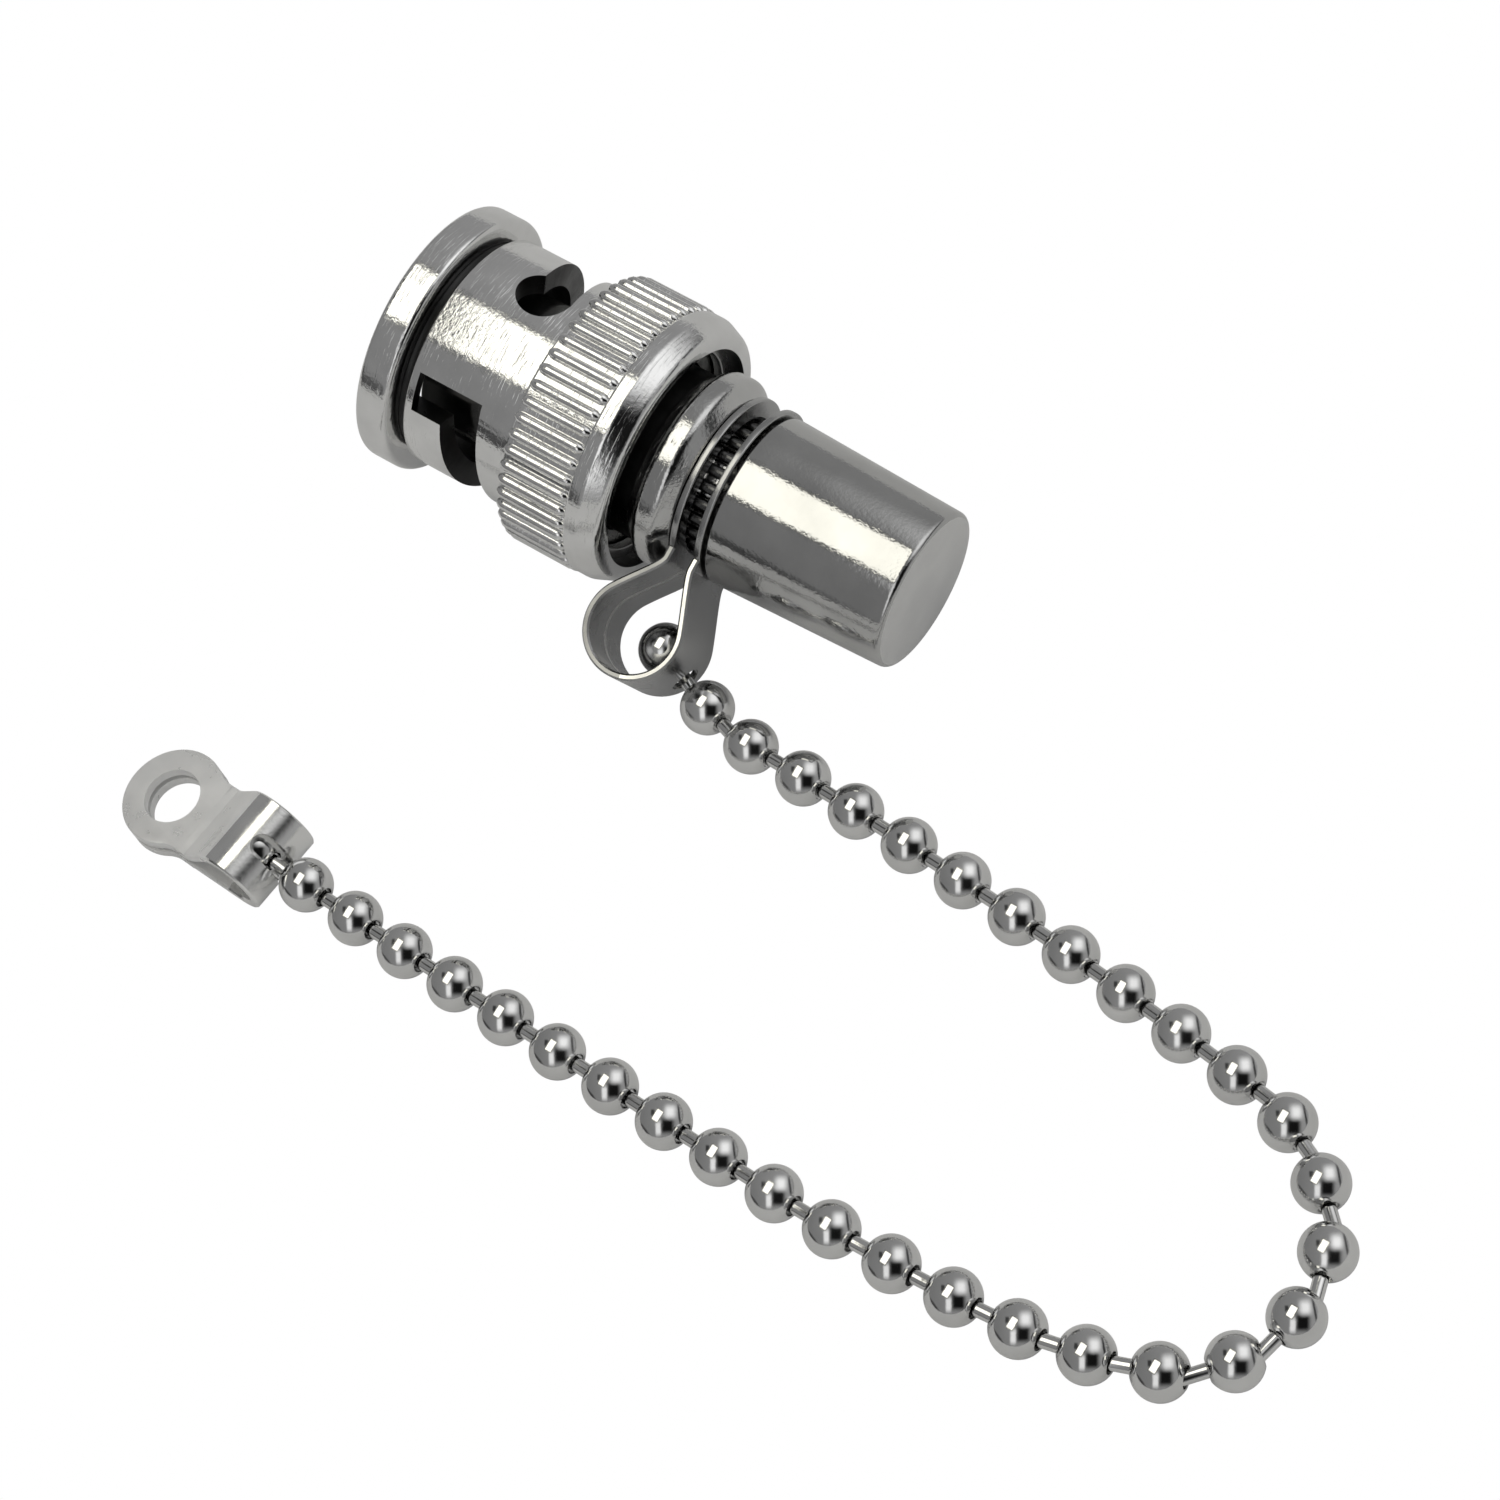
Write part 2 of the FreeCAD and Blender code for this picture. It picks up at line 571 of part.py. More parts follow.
turns = [FIRST_HEADING, RUN_HEADING]
for count, turn in zip(STRETCH_COUNTS, STRETCH_DEGREES):
    turns += [turns[-1] + turn * (step + 1) / count for step in range(count)]
fold_level = TABLE + size("ring_sheet + bead_radius + ring_fold_clearance")
climb = math.asin((fold_level - bead_level) / (size("bead_pitch") + arm))
drop = math.asin((bead_level - held_bead.z) / (spans[0] - arm))
runs = [heading(HELD_HEADING, drop)]
pivots = [held_bead - runs[0] * arm]
for number, degrees in enumerate(turns):
    pivots.append(pivots[-1] + runs[-1] * spans[-1])
    spans.append(size("bead_pitch"))
    runs.append(heading(degrees, climb if number >= len(turns) - 2 else 0.0))

# Strap clip: one strip with an eye at each end, folded so that both eyes ride on the plug's neck.
loop = folded_loop(loop_middle, size("clip_loop_radius"), Vector(front_ring, size("clip_neck"), 0),
                   Vector(rear_ring, size("clip_neck"), 0), size("clip_sheet"), size("clip_width"))
eyes = []
for station in (front_ring, rear_ring):
    start = Vector(station - size("0.5*clip_sheet"), 0, 0)
    eye = Part.makeCylinder(size("clip_ring_radius"), size("clip_sheet"), start, Vector(1, 0, 0))
    tongue = Part.makeBox(size("clip_sheet"), size("clip_neck"), size("clip_width"),
                          start - Vector(0, 0, size("0.5*clip_width")))
    bore = Part.makeCylinder(size("neck_radius + clip_clearance"), size("clip_sheet"), start, Vector(1, 0, 0))
    eyes.append(eye.fuse(tongue).cut(bore))
link_way = [CLIP.inverse().multVec(held_bead + runs[0] * step) for step in (0.0, spans[0])]
clip_shape = loop.fuse(eyes).cut(between(link_way[0], link_way[1], size("clip_hole_radius")))
keep(shaped("clip", clip_shape.removeSplitter()), "chain_clip", CLIP)


def faceted_turning(profile):
    """A many-sided solid turned about X from (station, radius) points, closed by a flat face at each end."""
    rings = []
    for station, radius in profile:
        spots = []
        for side in range(BEAD_SIDES):
            angle = 2 * math.pi * side / BEAD_SIDES
            spots.append(Vector(station, radius * math.cos(angle), radius * math.sin(angle)))
        rings.append(spots)
    faces = [Part.Face(Part.makePolygon(ring + ring[:1])) for ring in (rings[0], rings[-1])]
    for near, far in zip(rings, rings[1:]):
        for side in range(BEAD_SIDES):
            after = (side + 1) % BEAD_SIDES
            patch = [near[side], near[after], far[after], far[side], near[side]]
            faces.append(Part.Face(Part.makePolygon(patch)))
    solid = Part.Solid(Part.Shell(faces))
    return solid if solid.Volume > 0 else Part.Solid(Part.Shell([face.reversed() for face in faces]))


def bead_profile(span, has_link):
    """Stations and radii of a bead from the pivot in its socket, with the link that all but the last carry."""
    radius = size("bead_radius")
    hole = size("bead_hole_radius")
    first = math.asin(hole / radius)
    last = math.pi - math.asin(size("link_radius") / radius)
    lip = size("0.35*bead_lip")
    cavity = size("bead_cavity_radius")
    profile = [(size("bead_cavity_depth"), cavity), (lip, cavity), (lip, hole)]
    crown = first + 0.5 * (last - first) / BEAD_ROWS
    rows = [first] + [crown + (last - crown) * row / BEAD_ROWS for row in range(BEAD_ROWS + 1)]
    for angle in rows:
        profile.append((arm - radius * math.cos(angle), radius * math.sin(angle)))
    if has_link:
        profile += [(span + size("link_head_reach - link_head_bevel"), size("link_radius")),
                    (span + size("link_head_reach"), size("link_head_radius"))]
    return profile


# Beads: each carries the link that runs on into the next bead's hole.
for number, (pivot, run, span) in enumerate(zip(pivots, runs, spans)):
    bead = shaped("bead", faceted_turning(bead_profile(span, number < len(runs) - 1)))
    across = Vector(0, 0, 1).cross(run).normalize()
    frame = Rotation(run, across, run.cross(across), "XYZ")
    keep(bead, "bead_%02d" % number, Placement(pivot, frame))

# Ring terminal: a strip folded round the last bead, its two ends punched as eyes that lie one on the other.
sheet_gauge = size("ring_sheet")
fold_radius = size("bead_radius + ring_fold_clearance + 0.5*ring_sheet")
last_bead = pivots[-1] + runs[-1] * arm
lie = Placement(Vector(last_bead.x, last_bead.y, TABLE), Rotation(Vector(0, 0, 1), turns[-1]))
lower = Vector(size("ring_taper_length"), sheet_gauge / 2, 0)
upper = lower + Vector(0, size("ring_sheet + ring_leaf_gap"), 0)
fold = folded_loop(Vector(0, fold_level - TABLE, 0), fold_radius, upper, lower, sheet_gauge, size("ring_width"))
fold.rotate(Vector(), Vector(1, 0, 0), 90)
eye_middle = Vector(size("ring_eye_reach"), 0, 0)
leaves = []
for level in (lower.y, upper.y):
    low = Vector(0, 0, level - sheet_gauge / 2)
    leaf = Part.makeCylinder(size("ring_eye_radius"), sheet_gauge, eye_middle + low)
    strip = Part.makeBox(size("ring_eye_reach - ring_taper_length"), size("ring_width"), sheet_gauge,
                         low + Vector(size("ring_taper_length"), -size("0.5*ring_width"), 0))
    leaves.append(strip.fuse(leaf))
hole = Part.makeCylinder(size("ring_hole_radius"), size("4*ring_sheet"), eye_middle)
slot_run = fold_radius + sheet_gauge
bend_middle = Vector(0, 0, fold_level - TABLE)
slot_ends = []
for share in (0.0, 0.5, 1.0):
    angle = math.radians(size("ring_slot_low") + share * size("ring_slot_high - ring_slot_low"))
    slot_ends.append(bend_middle + Vector(-math.cos(angle), 0, math.sin(angle)) * slot_run)
sector = [Part.makeLine(bend_middle, slot_ends[0]), Part.Arc(*slot_ends).toShape(),
          Part.makeLine(slot_ends[2], bend_middle)]
slot = Part.Face(Part.Wire(sector)).extrude(Vector(0, size("ring_slot_width"), 0))
slot.translate(Vector(0, -size("0.5*ring_slot_width"), 0))
slot = slot.fuse([between(bend_middle, end, size("0.5*ring_slot_width")) for end in (slot_ends[0], slot_ends[2])])
terminal = fold.fuse(leaves).cut(hole.fuse(slot)).removeSplitter()
keep(shaped("terminal", terminal), "ring_terminal", lie)

# Recompute, check every object and every sub-part, then write one file for each sub-part.
doc.recompute()
for item in doc.Objects:
    if "Invalid" in item.State or "Error" in item.State:
        raise RuntimeError("%s did not recompute: %s" % (item.Label, item.State))
os.makedirs("parts", exist_ok=True)
for item in nodes:
    shape = item.Shape.Solids[0] if len(item.Shape.Solids) == 1 else item.Shape
    if item.Shape.isNull() or not shape.isValid() or shape.Volume <= 0:
        raise RuntimeError("%s has no valid solid" % item.Label)
    shape.exportStep("parts/%s.step" % item.Label)
    print("%-16s %d solid, %.2f mm3" % (item.Label, len(item.Shape.Solids), shape.Volume))
print("tilt %.2f degrees, table at %.3f" % (math.degrees(TILT), TABLE))
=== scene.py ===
import bmesh
import bpy
import json
import math
from mathutils import Matrix, Vector


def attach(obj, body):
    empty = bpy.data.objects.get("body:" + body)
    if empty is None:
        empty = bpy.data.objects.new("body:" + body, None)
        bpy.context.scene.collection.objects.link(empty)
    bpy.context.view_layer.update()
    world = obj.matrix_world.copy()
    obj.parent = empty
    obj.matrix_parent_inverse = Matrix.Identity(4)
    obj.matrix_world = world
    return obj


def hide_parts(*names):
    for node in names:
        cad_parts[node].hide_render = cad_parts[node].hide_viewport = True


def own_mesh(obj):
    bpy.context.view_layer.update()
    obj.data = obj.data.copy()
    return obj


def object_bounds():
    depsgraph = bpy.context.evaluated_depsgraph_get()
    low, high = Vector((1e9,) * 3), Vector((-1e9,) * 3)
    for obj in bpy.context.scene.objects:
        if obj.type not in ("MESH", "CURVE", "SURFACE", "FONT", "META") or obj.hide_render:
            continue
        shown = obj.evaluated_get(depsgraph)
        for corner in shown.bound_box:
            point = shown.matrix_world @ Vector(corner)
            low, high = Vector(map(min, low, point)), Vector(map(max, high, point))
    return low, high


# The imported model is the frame. Sizes are millimetres along the plug's own axis, with stations counted back
# from the nut's mouth, so they are below zero. PLUG makes them metres and tips them as the plug lies.
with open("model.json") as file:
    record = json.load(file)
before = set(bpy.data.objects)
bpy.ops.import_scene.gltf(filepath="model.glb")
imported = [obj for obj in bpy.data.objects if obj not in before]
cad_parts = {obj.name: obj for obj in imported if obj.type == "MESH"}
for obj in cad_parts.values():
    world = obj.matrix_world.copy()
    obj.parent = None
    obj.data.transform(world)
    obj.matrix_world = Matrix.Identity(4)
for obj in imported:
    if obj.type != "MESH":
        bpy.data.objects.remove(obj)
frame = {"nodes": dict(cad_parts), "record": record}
cad_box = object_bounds()
scene = bpy.context.scene
joints = {joint["name"]: joint for joint in frame["record"]["behaviour"]["joints"]}
AXIS = Vector(joints["nut_spin"]["axis"])
TILT = math.atan2(AXIS.z, AXIS.x)
MM = 0.001
TAU = 2 * math.pi
PLUG = Matrix.Rotation(-TILT, 4, "Y") @ Matrix.Scale(MM, 4)


# Load, earth disc, rear insulator, gasket and thrust washer: a ceramic resistor, a brass plate, a white bead,
# a moulded rubber ring and a stamped steel washer, all hidden inside. They keep the frame's shape.
def plating_wear():
    """Fine pits, long faint scuffs and uneven polish, with their strengths as inputs."""
    tree = bpy.data.node_groups.new("plating_wear", "ShaderNodeTree")
    for label in ("Roughness", "Pitting", "Scuffs", "Turning"):
        tree.interface.new_socket(label, in_out="INPUT", socket_type="NodeSocketFloat")
    for label, kind in (("Roughness", "NodeSocketFloat"), ("Shade", "NodeSocketFloat"),
                        ("Normal", "NodeSocketVector")):
        tree.interface.new_socket(label, in_out="OUTPUT", socket_type=kind)
    nodes, links = tree.nodes, tree.links
    take, give = nodes.new("NodeGroupInput"), nodes.new("NodeGroupOutput")

    def noise(place, scale, detail):
        """Noise of one grain size."""
        node = nodes.new("ShaderNodeTexNoise")
        node.inputs["Scale"].default_value = scale
        node.inputs["Detail"].default_value = detail
        links.new(place, node.inputs["Vector"])
        return node.outputs["Fac"]

    def spread(feed, *ends):
        """One stretch of a value, from low to high, laid out between two new ends or from 0 to 1."""
        node = nodes.new("ShaderNodeMapRange")
        links.new(feed, node.inputs[0])
        for place, end in enumerate(ends, 1):
            node.inputs[place].default_value = end
        return node.outputs[0]

    def relief(height, strength, under=None):
        """A bump of twenty microns at full strength, on top of another one where it is given."""
        node = nodes.new("ShaderNodeBump")
        node.inputs["Distance"].default_value = 0.02 * MM
        links.new(strength, node.inputs["Strength"])
        links.new(height, node.inputs["Height"])
        if under is not None:
            links.new(under, node.inputs["Normal"])
        return node.outputs[0]

    where = nodes.new("ShaderNodeTexCoord")
    level = nodes.new("ShaderNodeVectorRotate")
    level.rotation_type = "Y_AXIS"
    level.inputs["Angle"].default_value = TILT
    links.new(where.outputs["Object"], level.inputs["Vector"])
    stretch = nodes.new("ShaderNodeCombineXYZ")
    stretch.inputs[1].default_value = stretch.inputs[2].default_value = 1
    links.new(take.outputs["Turning"], stretch.inputs[0])
    lathe_marks = nodes.new("ShaderNodeVectorMath")
    lathe_marks.operation = "MULTIPLY"
    links.new(level.outputs[0], lathe_marks.inputs[0])
    links.new(stretch.outputs[0], lathe_marks.inputs[1])

    pits = noise(level.outputs[0], 5200, 4)
    blotches = noise(level.outputs[0], 420, 5)
    scuffs = spread(noise(lathe_marks.outputs[0], 900, 3), 0.56, 0.72)
    polish = nodes.new("ShaderNodeMath")
    polish.operation = "MULTIPLY"
    links.new(take.outputs["Roughness"], polish.inputs[0])
    links.new(spread(blotches, 0.35, 0.7, 0.75, 1.5), polish.inputs[1])
    links.new(polish.outputs[0], give.inputs["Roughness"])
    links.new(spread(blotches, 0.3, 0.75, 0.88, 1.04), give.inputs["Shade"])
    pitted = relief(pits, take.outputs["Pitting"])
    links.new(relief(scuffs, take.outputs["Scuffs"], pitted), give.inputs["Normal"])
    return tree


WEAR = plating_wear()


def finish(name, color, roughness, pitting, scuffs, turning=1.0, metallic=1.0):
    """A plated or plain finish that takes its polish, shade and relief from the shared wear."""
    material = bpy.data.materials.new(name)
    material.use_nodes = True
    nodes, links = material.node_tree.nodes, material.node_tree.links
    surface = nodes["Principled BSDF"]
    surface.inputs["Metallic"].default_value = metallic
    worn = nodes.new("ShaderNodeGroup")
    worn.node_tree = WEAR
    for label, value in (("Roughness", roughness), ("Pitting", pitting), ("Scuffs", scuffs),
                         ("Turning", turning)):
        worn.inputs[label].default_value = value
    tint = nodes.new("ShaderNodeVectorMath")
    tint.operation = "SCALE"
    tint.inputs[0].default_value = color
    links.new(worn.outputs["Shade"], tint.inputs["Scale"])
    links.new(tint.outputs[0], surface.inputs["Base Color"])
    links.new(worn.outputs["Roughness"], surface.inputs["Roughness"])
    links.new(worn.outputs["Normal"], surface.inputs["Normal"])
    return material


CERAMIC = finish("resistor_ceramic", (0.34, 0.27, 0.20), 0.4, 0.3, 0.1, metallic=0.0)
BRASS = finish("disc_brass", (0.80, 0.62, 0.34), 0.3, 0.2, 0.3)
INSULATOR = finish("insulator", (0.82, 0.82, 0.80), 0.45, 0.1, 0.05, metallic=0.0)
SILICONE = finish("silicone", (0.42, 0.09, 0.06), 0.5, 0.3, 0.1, metallic=0.0)
STEEL = finish("spring_steel", (0.45, 0.45, 0.44), 0.25, 0.2, 0.2)
for node, coat in (("load_resistor", CERAMIC), ("earth_disc", BRASS), ("rear_insulator", INSULATOR),
                   ("gasket", SILICONE), ("thrust_washer", STEEL)):
    frame["nodes"][node].data.materials.clear()
    frame["nodes"][node].data.materials.append(coat)


# Plug body: turned from brass bar and nickel plated, with a flange for the spring, a rounded collar and the
# thin neck that the clip turns on. The part that lies deep in the nut is painted near black as painted shade.
def softened(outline):
    """Rounds each (station, radius, rounding) corner of an outline with a short curve."""
    fine, fine_steps, full_steps, most = 0.12, 3, 8, 0.49
    points = []
    for i, (x, r, soft) in enumerate(outline):
        here = Vector((x, r))
        if soft <= 0:
            points.append(here)
            continue
        back = Vector(outline[i - 1][:2]) - here
        ahead = Vector(outline[(i + 1) % len(outline)][:2]) - here
        half = back.angle(ahead) / 2
        run = min(soft / math.tan(half), back.length * most, ahead.length * most)
        first, last = here + back.normalized() * run, here + ahead.normalized() * run
        steps = fine_steps if soft < fine else full_steps
        for step in range(steps + 1):
            t = step / steps
            points.append(first * (1 - t) ** 2 + here * 2 * t * (1 - t) + last * t * t)
    return points


def turned(outline, segments=240):
    """A bmesh turned about X from a closed outline."""
    work = bmesh.new()
    rings = []
    for point in softened(outline):
        ring = []
        for step in range(segments):
            angle = TAU * step / segments
            ring.append(work.verts.new((point.x, point.y * math.sin(angle), point.y * math.cos(angle))))
        rings.append(ring)
    for near, far in zip(rings, rings[1:] + rings[:1]):
        for step in range(segments):
            after = (step + 1) % segments
            work.faces.new([near[step], near[after], far[after], far[step]])
    bmesh.ops.remove_doubles(work, verts=work.verts, dist=1e-5)
    bmesh.ops.dissolve_degenerate(work, edges=work.edges, dist=1e-6)
    return work


def shaped(name, work, material, matrix=PLUG, crease=32):
    """Turns a bmesh into an object, moved by its matrix and shaded smooth up to its creases."""
    bmesh.ops.remove_doubles(work, verts=work.verts, dist=1e-5)
    bmesh.ops.recalc_face_normals(work, faces=work.faces)
    work.transform(matrix)
    mesh = bpy.data.meshes.new(name)
    work.to_mesh(mesh)
    work.free()
    mesh.materials.append(material)
    mesh.shade_smooth()
    mesh.set_sharp_from_angle(angle=math.radians(crease))
    piece = bpy.data.objects.new(name, mesh)
    scene.collection.objects.link(piece)
    return piece


COLLAR = finish("nickel_collar", (0.60, 0.60, 0.595), 0.09, 0.6, 0.6, 3)
# Near-black nickel: painted shade for the nut's bore, its slot walls and the plug body deep in the nut.
DEEP_SHADE = finish("nickel_painted_shade", (0.05, 0.05, 0.05), 0.35, 0.3, 0.2, 8)
SLEEVE_BORE, SLEEVE_RADIUS, SLEEVE_BACK = 3.75, 4.15, -10.6
FLANGE_BACK, NOSE_BACK = -11.2, -12.6
SPIGOT_RADIUS = 3.3
root_front, root_radius, flange_front, flange_radius = -8.8, 4.8, -9.2, 5.7
body_radius, collar_radius, neck_front, neck_back, neck_radius = 4.5, 5.2, -17.1, -19.4, 3.0
spigot_back, load_front, load_bore, pin_bore = -23.5, -13.6, 2.4, 1.7
painted_shade_up_to = -14.85
core = shaped("plug_core", turned([
    (root_front, SLEEVE_RADIUS, 0.05), (root_front, root_radius, 0.05), (flange_front, root_radius, 0),
    (flange_front, flange_radius, 0.1), (FLANGE_BACK, flange_radius, 0.1), (FLANGE_BACK, body_radius, 0),
    (-14.65, body_radius, 0.3), (-15.4, collar_radius, 0.6), (-16.4, collar_radius, 0.6),
    (neck_front, body_radius, 0.15), (neck_front, neck_radius, 0.1), (neck_back, neck_radius, 0),
    (neck_back, SPIGOT_RADIUS, 0.05), (spigot_back, SPIGOT_RADIUS, 0.1), (spigot_back, load_bore, 0),
    (load_front, load_bore, 0), (load_front, pin_bore, 0), (NOSE_BACK, pin_bore, 0),
    (NOSE_BACK, SLEEVE_BORE, 0), (SLEEVE_BACK, SLEEVE_BORE, 0), (SLEEVE_BACK, SLEEVE_RADIUS, 0)]), COLLAR)
# Faces deep in the nut take the near-black painted shade.
core.data.materials.append(DEEP_SHADE)
for face in core.data.polygons:
    face.material_index = int(face.center.dot(AXIS) > painted_shade_up_to * MM)
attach(core, "plug")
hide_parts("plug_body")


# Neck ribs: short straight ribs rolled round the neck, painted dark as painted shade between the collar and
# the cap. One tree makes these and the longer ones on the nut.
def rib_tree():
    """A tree that sets round-topped ribs with tapered ends side by side round the X axis."""
    rows, round_steps, end_share, end_size = 24, 14, 0.05, 0.5
    tree = bpy.data.node_groups.new("ribs_round_axis", "GeometryNodeTree")
    tree.interface.new_socket("Geometry", in_out="OUTPUT", socket_type="NodeSocketGeometry")
    sockets = {}
    for label, kind in (("Count", "NodeSocketInt"), ("Base radius", "NodeSocketFloat"),
                        ("Front", "NodeSocketFloat"), ("Length", "NodeSocketFloat"),
                        ("Rib width", "NodeSocketFloat"), ("Rib height", "NodeSocketFloat"),
                        ("Finish", "NodeSocketMaterial")):
        sockets[label] = tree.interface.new_socket(label, in_out="INPUT", socket_type=kind).identifier
    nodes, links = tree.nodes, tree.links
    take, give = nodes.new("NodeGroupInput"), nodes.new("NodeGroupOutput")

    def fed(node, feeds):
        """The result of a node whose inputs are numbers or outputs."""
        for place, feed in enumerate(feeds):
            if isinstance(feed, (int, float)):
                node.inputs[place].default_value = feed
            else:
                links.new(feed, node.inputs[place])
        return node.outputs[0]

    def number(operation, *feeds):
        """One operation on numbers or outputs."""
        node = nodes.new("ShaderNodeMath")
        node.operation = operation
        return fed(node, feeds)

    def triple(*feeds):
        """Up to three numbers or outputs as one vector."""
        return fed(nodes.new("ShaderNodeCombineXYZ"), feeds)

    index = nodes.new("GeometryNodeInputIndex")
    angle = number("MULTIPLY", number("DIVIDE", index.outputs[0], take.outputs["Count"]), TAU)
    points = nodes.new("GeometryNodePoints")
    links.new(take.outputs["Count"], points.inputs["Count"])
    links.new(triple(take.outputs["Front"],
                     number("MULTIPLY", number("SINE", angle), take.outputs["Base radius"]),
                     number("MULTIPLY", number("COSINE", angle), take.outputs["Base radius"])),
              points.inputs["Position"])

    line = nodes.new("GeometryNodeCurvePrimitiveLine")
    links.new(triple(number("MULTIPLY", take.outputs["Length"], -1)), line.inputs["End"])
    fine = nodes.new("GeometryNodeResampleCurve")
    fine.inputs["Count"].default_value = rows
    links.new(line.outputs[0], fine.inputs["Curve"])
    share = nodes.new("GeometryNodeSplineParameter").outputs["Factor"]
    away = number("MINIMUM", number("MULTIPLY", share, 1 / end_share), 1)
    back = number("MINIMUM", number("MULTIPLY", number("SUBTRACT", 1, share), 1 / end_share), 1)
    taper = number("MAXIMUM", number("MULTIPLY", away, back), end_size)
    section = nodes.new("GeometryNodeCurvePrimitiveCircle")
    section.inputs["Resolution"].default_value = round_steps
    section.inputs["Radius"].default_value = 1.0
    rib = nodes.new("GeometryNodeCurveToMesh")
    rib.inputs["Fill Caps"].default_value = True
    links.new(fine.outputs[0], rib.inputs["Curve"])
    links.new(section.outputs[0], rib.inputs["Profile Curve"])
    links.new(taper, rib.inputs["Scale"])
    sized = nodes.new("ShaderNodeVectorMath")
    sized.operation = "MULTIPLY"
    links.new(nodes.new("GeometryNodeInputPosition").outputs[0], sized.inputs[0])
    links.new(triple(1, number("MULTIPLY", take.outputs["Rib width"], 0.5), take.outputs["Rib height"]),
              sized.inputs[1])
    formed = nodes.new("GeometryNodeSetPosition")
    links.new(rib.outputs[0], formed.inputs["Geometry"])
    links.new(sized.outputs[0], formed.inputs["Position"])

    repeat = nodes.new("GeometryNodeInstanceOnPoints")
    links.new(points.outputs[0], repeat.inputs["Points"])
    links.new(formed.outputs[0], repeat.inputs["Instance"])
    links.new(triple(number("MULTIPLY", angle, -1)), repeat.inputs["Rotation"])
    real = nodes.new("GeometryNodeRealizeInstances")
    links.new(repeat.outputs[0], real.inputs[0])
    coat = nodes.new("GeometryNodeSetMaterial")
    links.new(real.outputs[0], coat.inputs["Geometry"])
    links.new(take.outputs["Finish"], coat.inputs["Material"])
    links.new(coat.outputs[0], give.inputs[0])
    return tree, sockets


RIBS, RIB_SOCKETS = rib_tree()


def ribs(name, values, crease=50):
    """Bakes one set of ribs from the tree."""
    carrier = bpy.data.objects.new(name + "_tree", bpy.data.meshes.new(name + "_tree"))
    scene.collection.objects.link(carrier)
    step = carrier.modifiers.new("ribs", "NODES")
    step.node_group = RIBS
    for label, value in values.items():
        step[RIB_SOCKETS[label]] = value
    bpy.context.view_layer.update()
    mesh = bpy.data.meshes.new_from_object(carrier.evaluated_get(bpy.context.evaluated_depsgraph_get()))
    bpy.data.objects.remove(carrier)
    mesh.transform(PLUG)
    mesh.shade_smooth()
    mesh.set_sharp_from_angle(angle=math.radians(crease))
    piece = bpy.data.objects.new(name, mesh)
    scene.collection.objects.link(piece)
    return piece


# Nearly black nickel: painted shade on the neck between the collar and the cap.
NECK_SHADE = finish("nickel_neck_painted_shade", (0.12, 0.12, 0.12), 0.20, 0.3, 0.3, 4)
neck_ribs = ribs("neck_knurl", {"Count": 24, "Base radius": 3.3, "Front": -17.15, "Length": 2.2,
                                "Rib width": 0.6, "Rib height": 0.3, "Finish": NECK_SHADE})
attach(neck_ribs, "plug")


# Contact sleeve, front insulator and centre pin: the mating end inside the nut. The sleeve is thin spring
# metal sawn into fingers, the insulator a white plastic bead with a nose, the pin gold plated and rounded.
def block(sizes, middle, turn=0):
    """A bmesh of a box with its middle beside the axis, turned about the axis."""
    work = bmesh.new()
    bmesh.ops.create_cube(work, size=1, matrix=Matrix.Rotation(math.radians(turn), 4, "X")
                          @ Matrix.Translation(middle) @ Matrix.Diagonal((*sizes, 1)))
    return work


def carved(piece, work, operation="DIFFERENCE"):
    """Takes a bmesh out of a piece, or adds it, with one exact boolean."""
    tool = shaped("tool", work, piece.data.materials[0], matrix=Matrix())
    step = piece.modifiers.new("cut", "BOOLEAN")
    step.operation = operation
    step.solver = "EXACT"
    step.object = tool
    bpy.context.view_layer.update()
    result = bpy.data.meshes.new_from_object(piece.evaluated_get(bpy.context.evaluated_depsgraph_get()))
    piece.modifiers.clear()
    piece.data = result
    bpy.data.objects.remove(tool)


def placed(piece, matrix=PLUG, crease=32):
    """Moves a carved piece's mesh to its place and shades it smooth up to its creases."""
    piece.data.transform(matrix)
    piece.data.shade_smooth()
    piece.data.set_sharp_from_angle(angle=math.radians(crease))


# The sleeve's plating is darkened as painted shade, since it lies inside the nut.
SLEEVE = finish("sleeve_plating_painted_shade", (0.42, 0.42, 0.41), 0.2, 0.1, 0.1)
GOLD = finish("pin_gold", (0.93, 0.70, 0.33), 0.16, 0.1, 0.1)
sleeve_front, saw_middle, saw_length, saw_width = -2, -4.7, 6.2, 0.35
nose_front, nose_radius, nose_bore, bead_front = -4.2, 2.35, 1.25, -8.6
pin_front, pin_radius, pin_step, shank_radius, pin_back = -3, 0.675, -8.98, 1.1, -15.6
sleeve = shaped("sleeve_tube", turned([
    (sleeve_front, SLEEVE_BORE, 0.1), (sleeve_front, SLEEVE_RADIUS, 0.15), (SLEEVE_BACK, SLEEVE_RADIUS, 0),
    (SLEEVE_BACK, SLEEVE_BORE, 0)]), SLEEVE, matrix=Matrix())
for turn in (0, 90):
    carved(sleeve, block((saw_length, saw_width, 9), (saw_middle, 0, 0), turn))
placed(sleeve)
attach(sleeve, "plug")
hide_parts("contact_sleeve")
nose = shaped("insulator_nose", turned([
    (nose_front, nose_bore, 0.1), (nose_front, nose_radius, 0.15), (bead_front, nose_radius, 0.1),
    (bead_front, SLEEVE_BORE, 0.1), (NOSE_BACK, SLEEVE_BORE, 0), (NOSE_BACK, shank_radius, 0),
    (pin_step, shank_radius, 0), (pin_step, nose_bore, 0)], 120), INSULATOR)
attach(nose, "plug")
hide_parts("front_insulator")
pin = shaped("pin_contact", turned([
    (pin_front, 0, 0), (pin_front, pin_radius, 0.5), (pin_step, pin_radius, 0.03),
    (pin_step, shank_radius, 0.05), (pin_back, shank_radius, 0.05), (pin_back, 0, 0)], 96), GOLD, crease=50)
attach(pin, "plug")
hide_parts("center_pin")

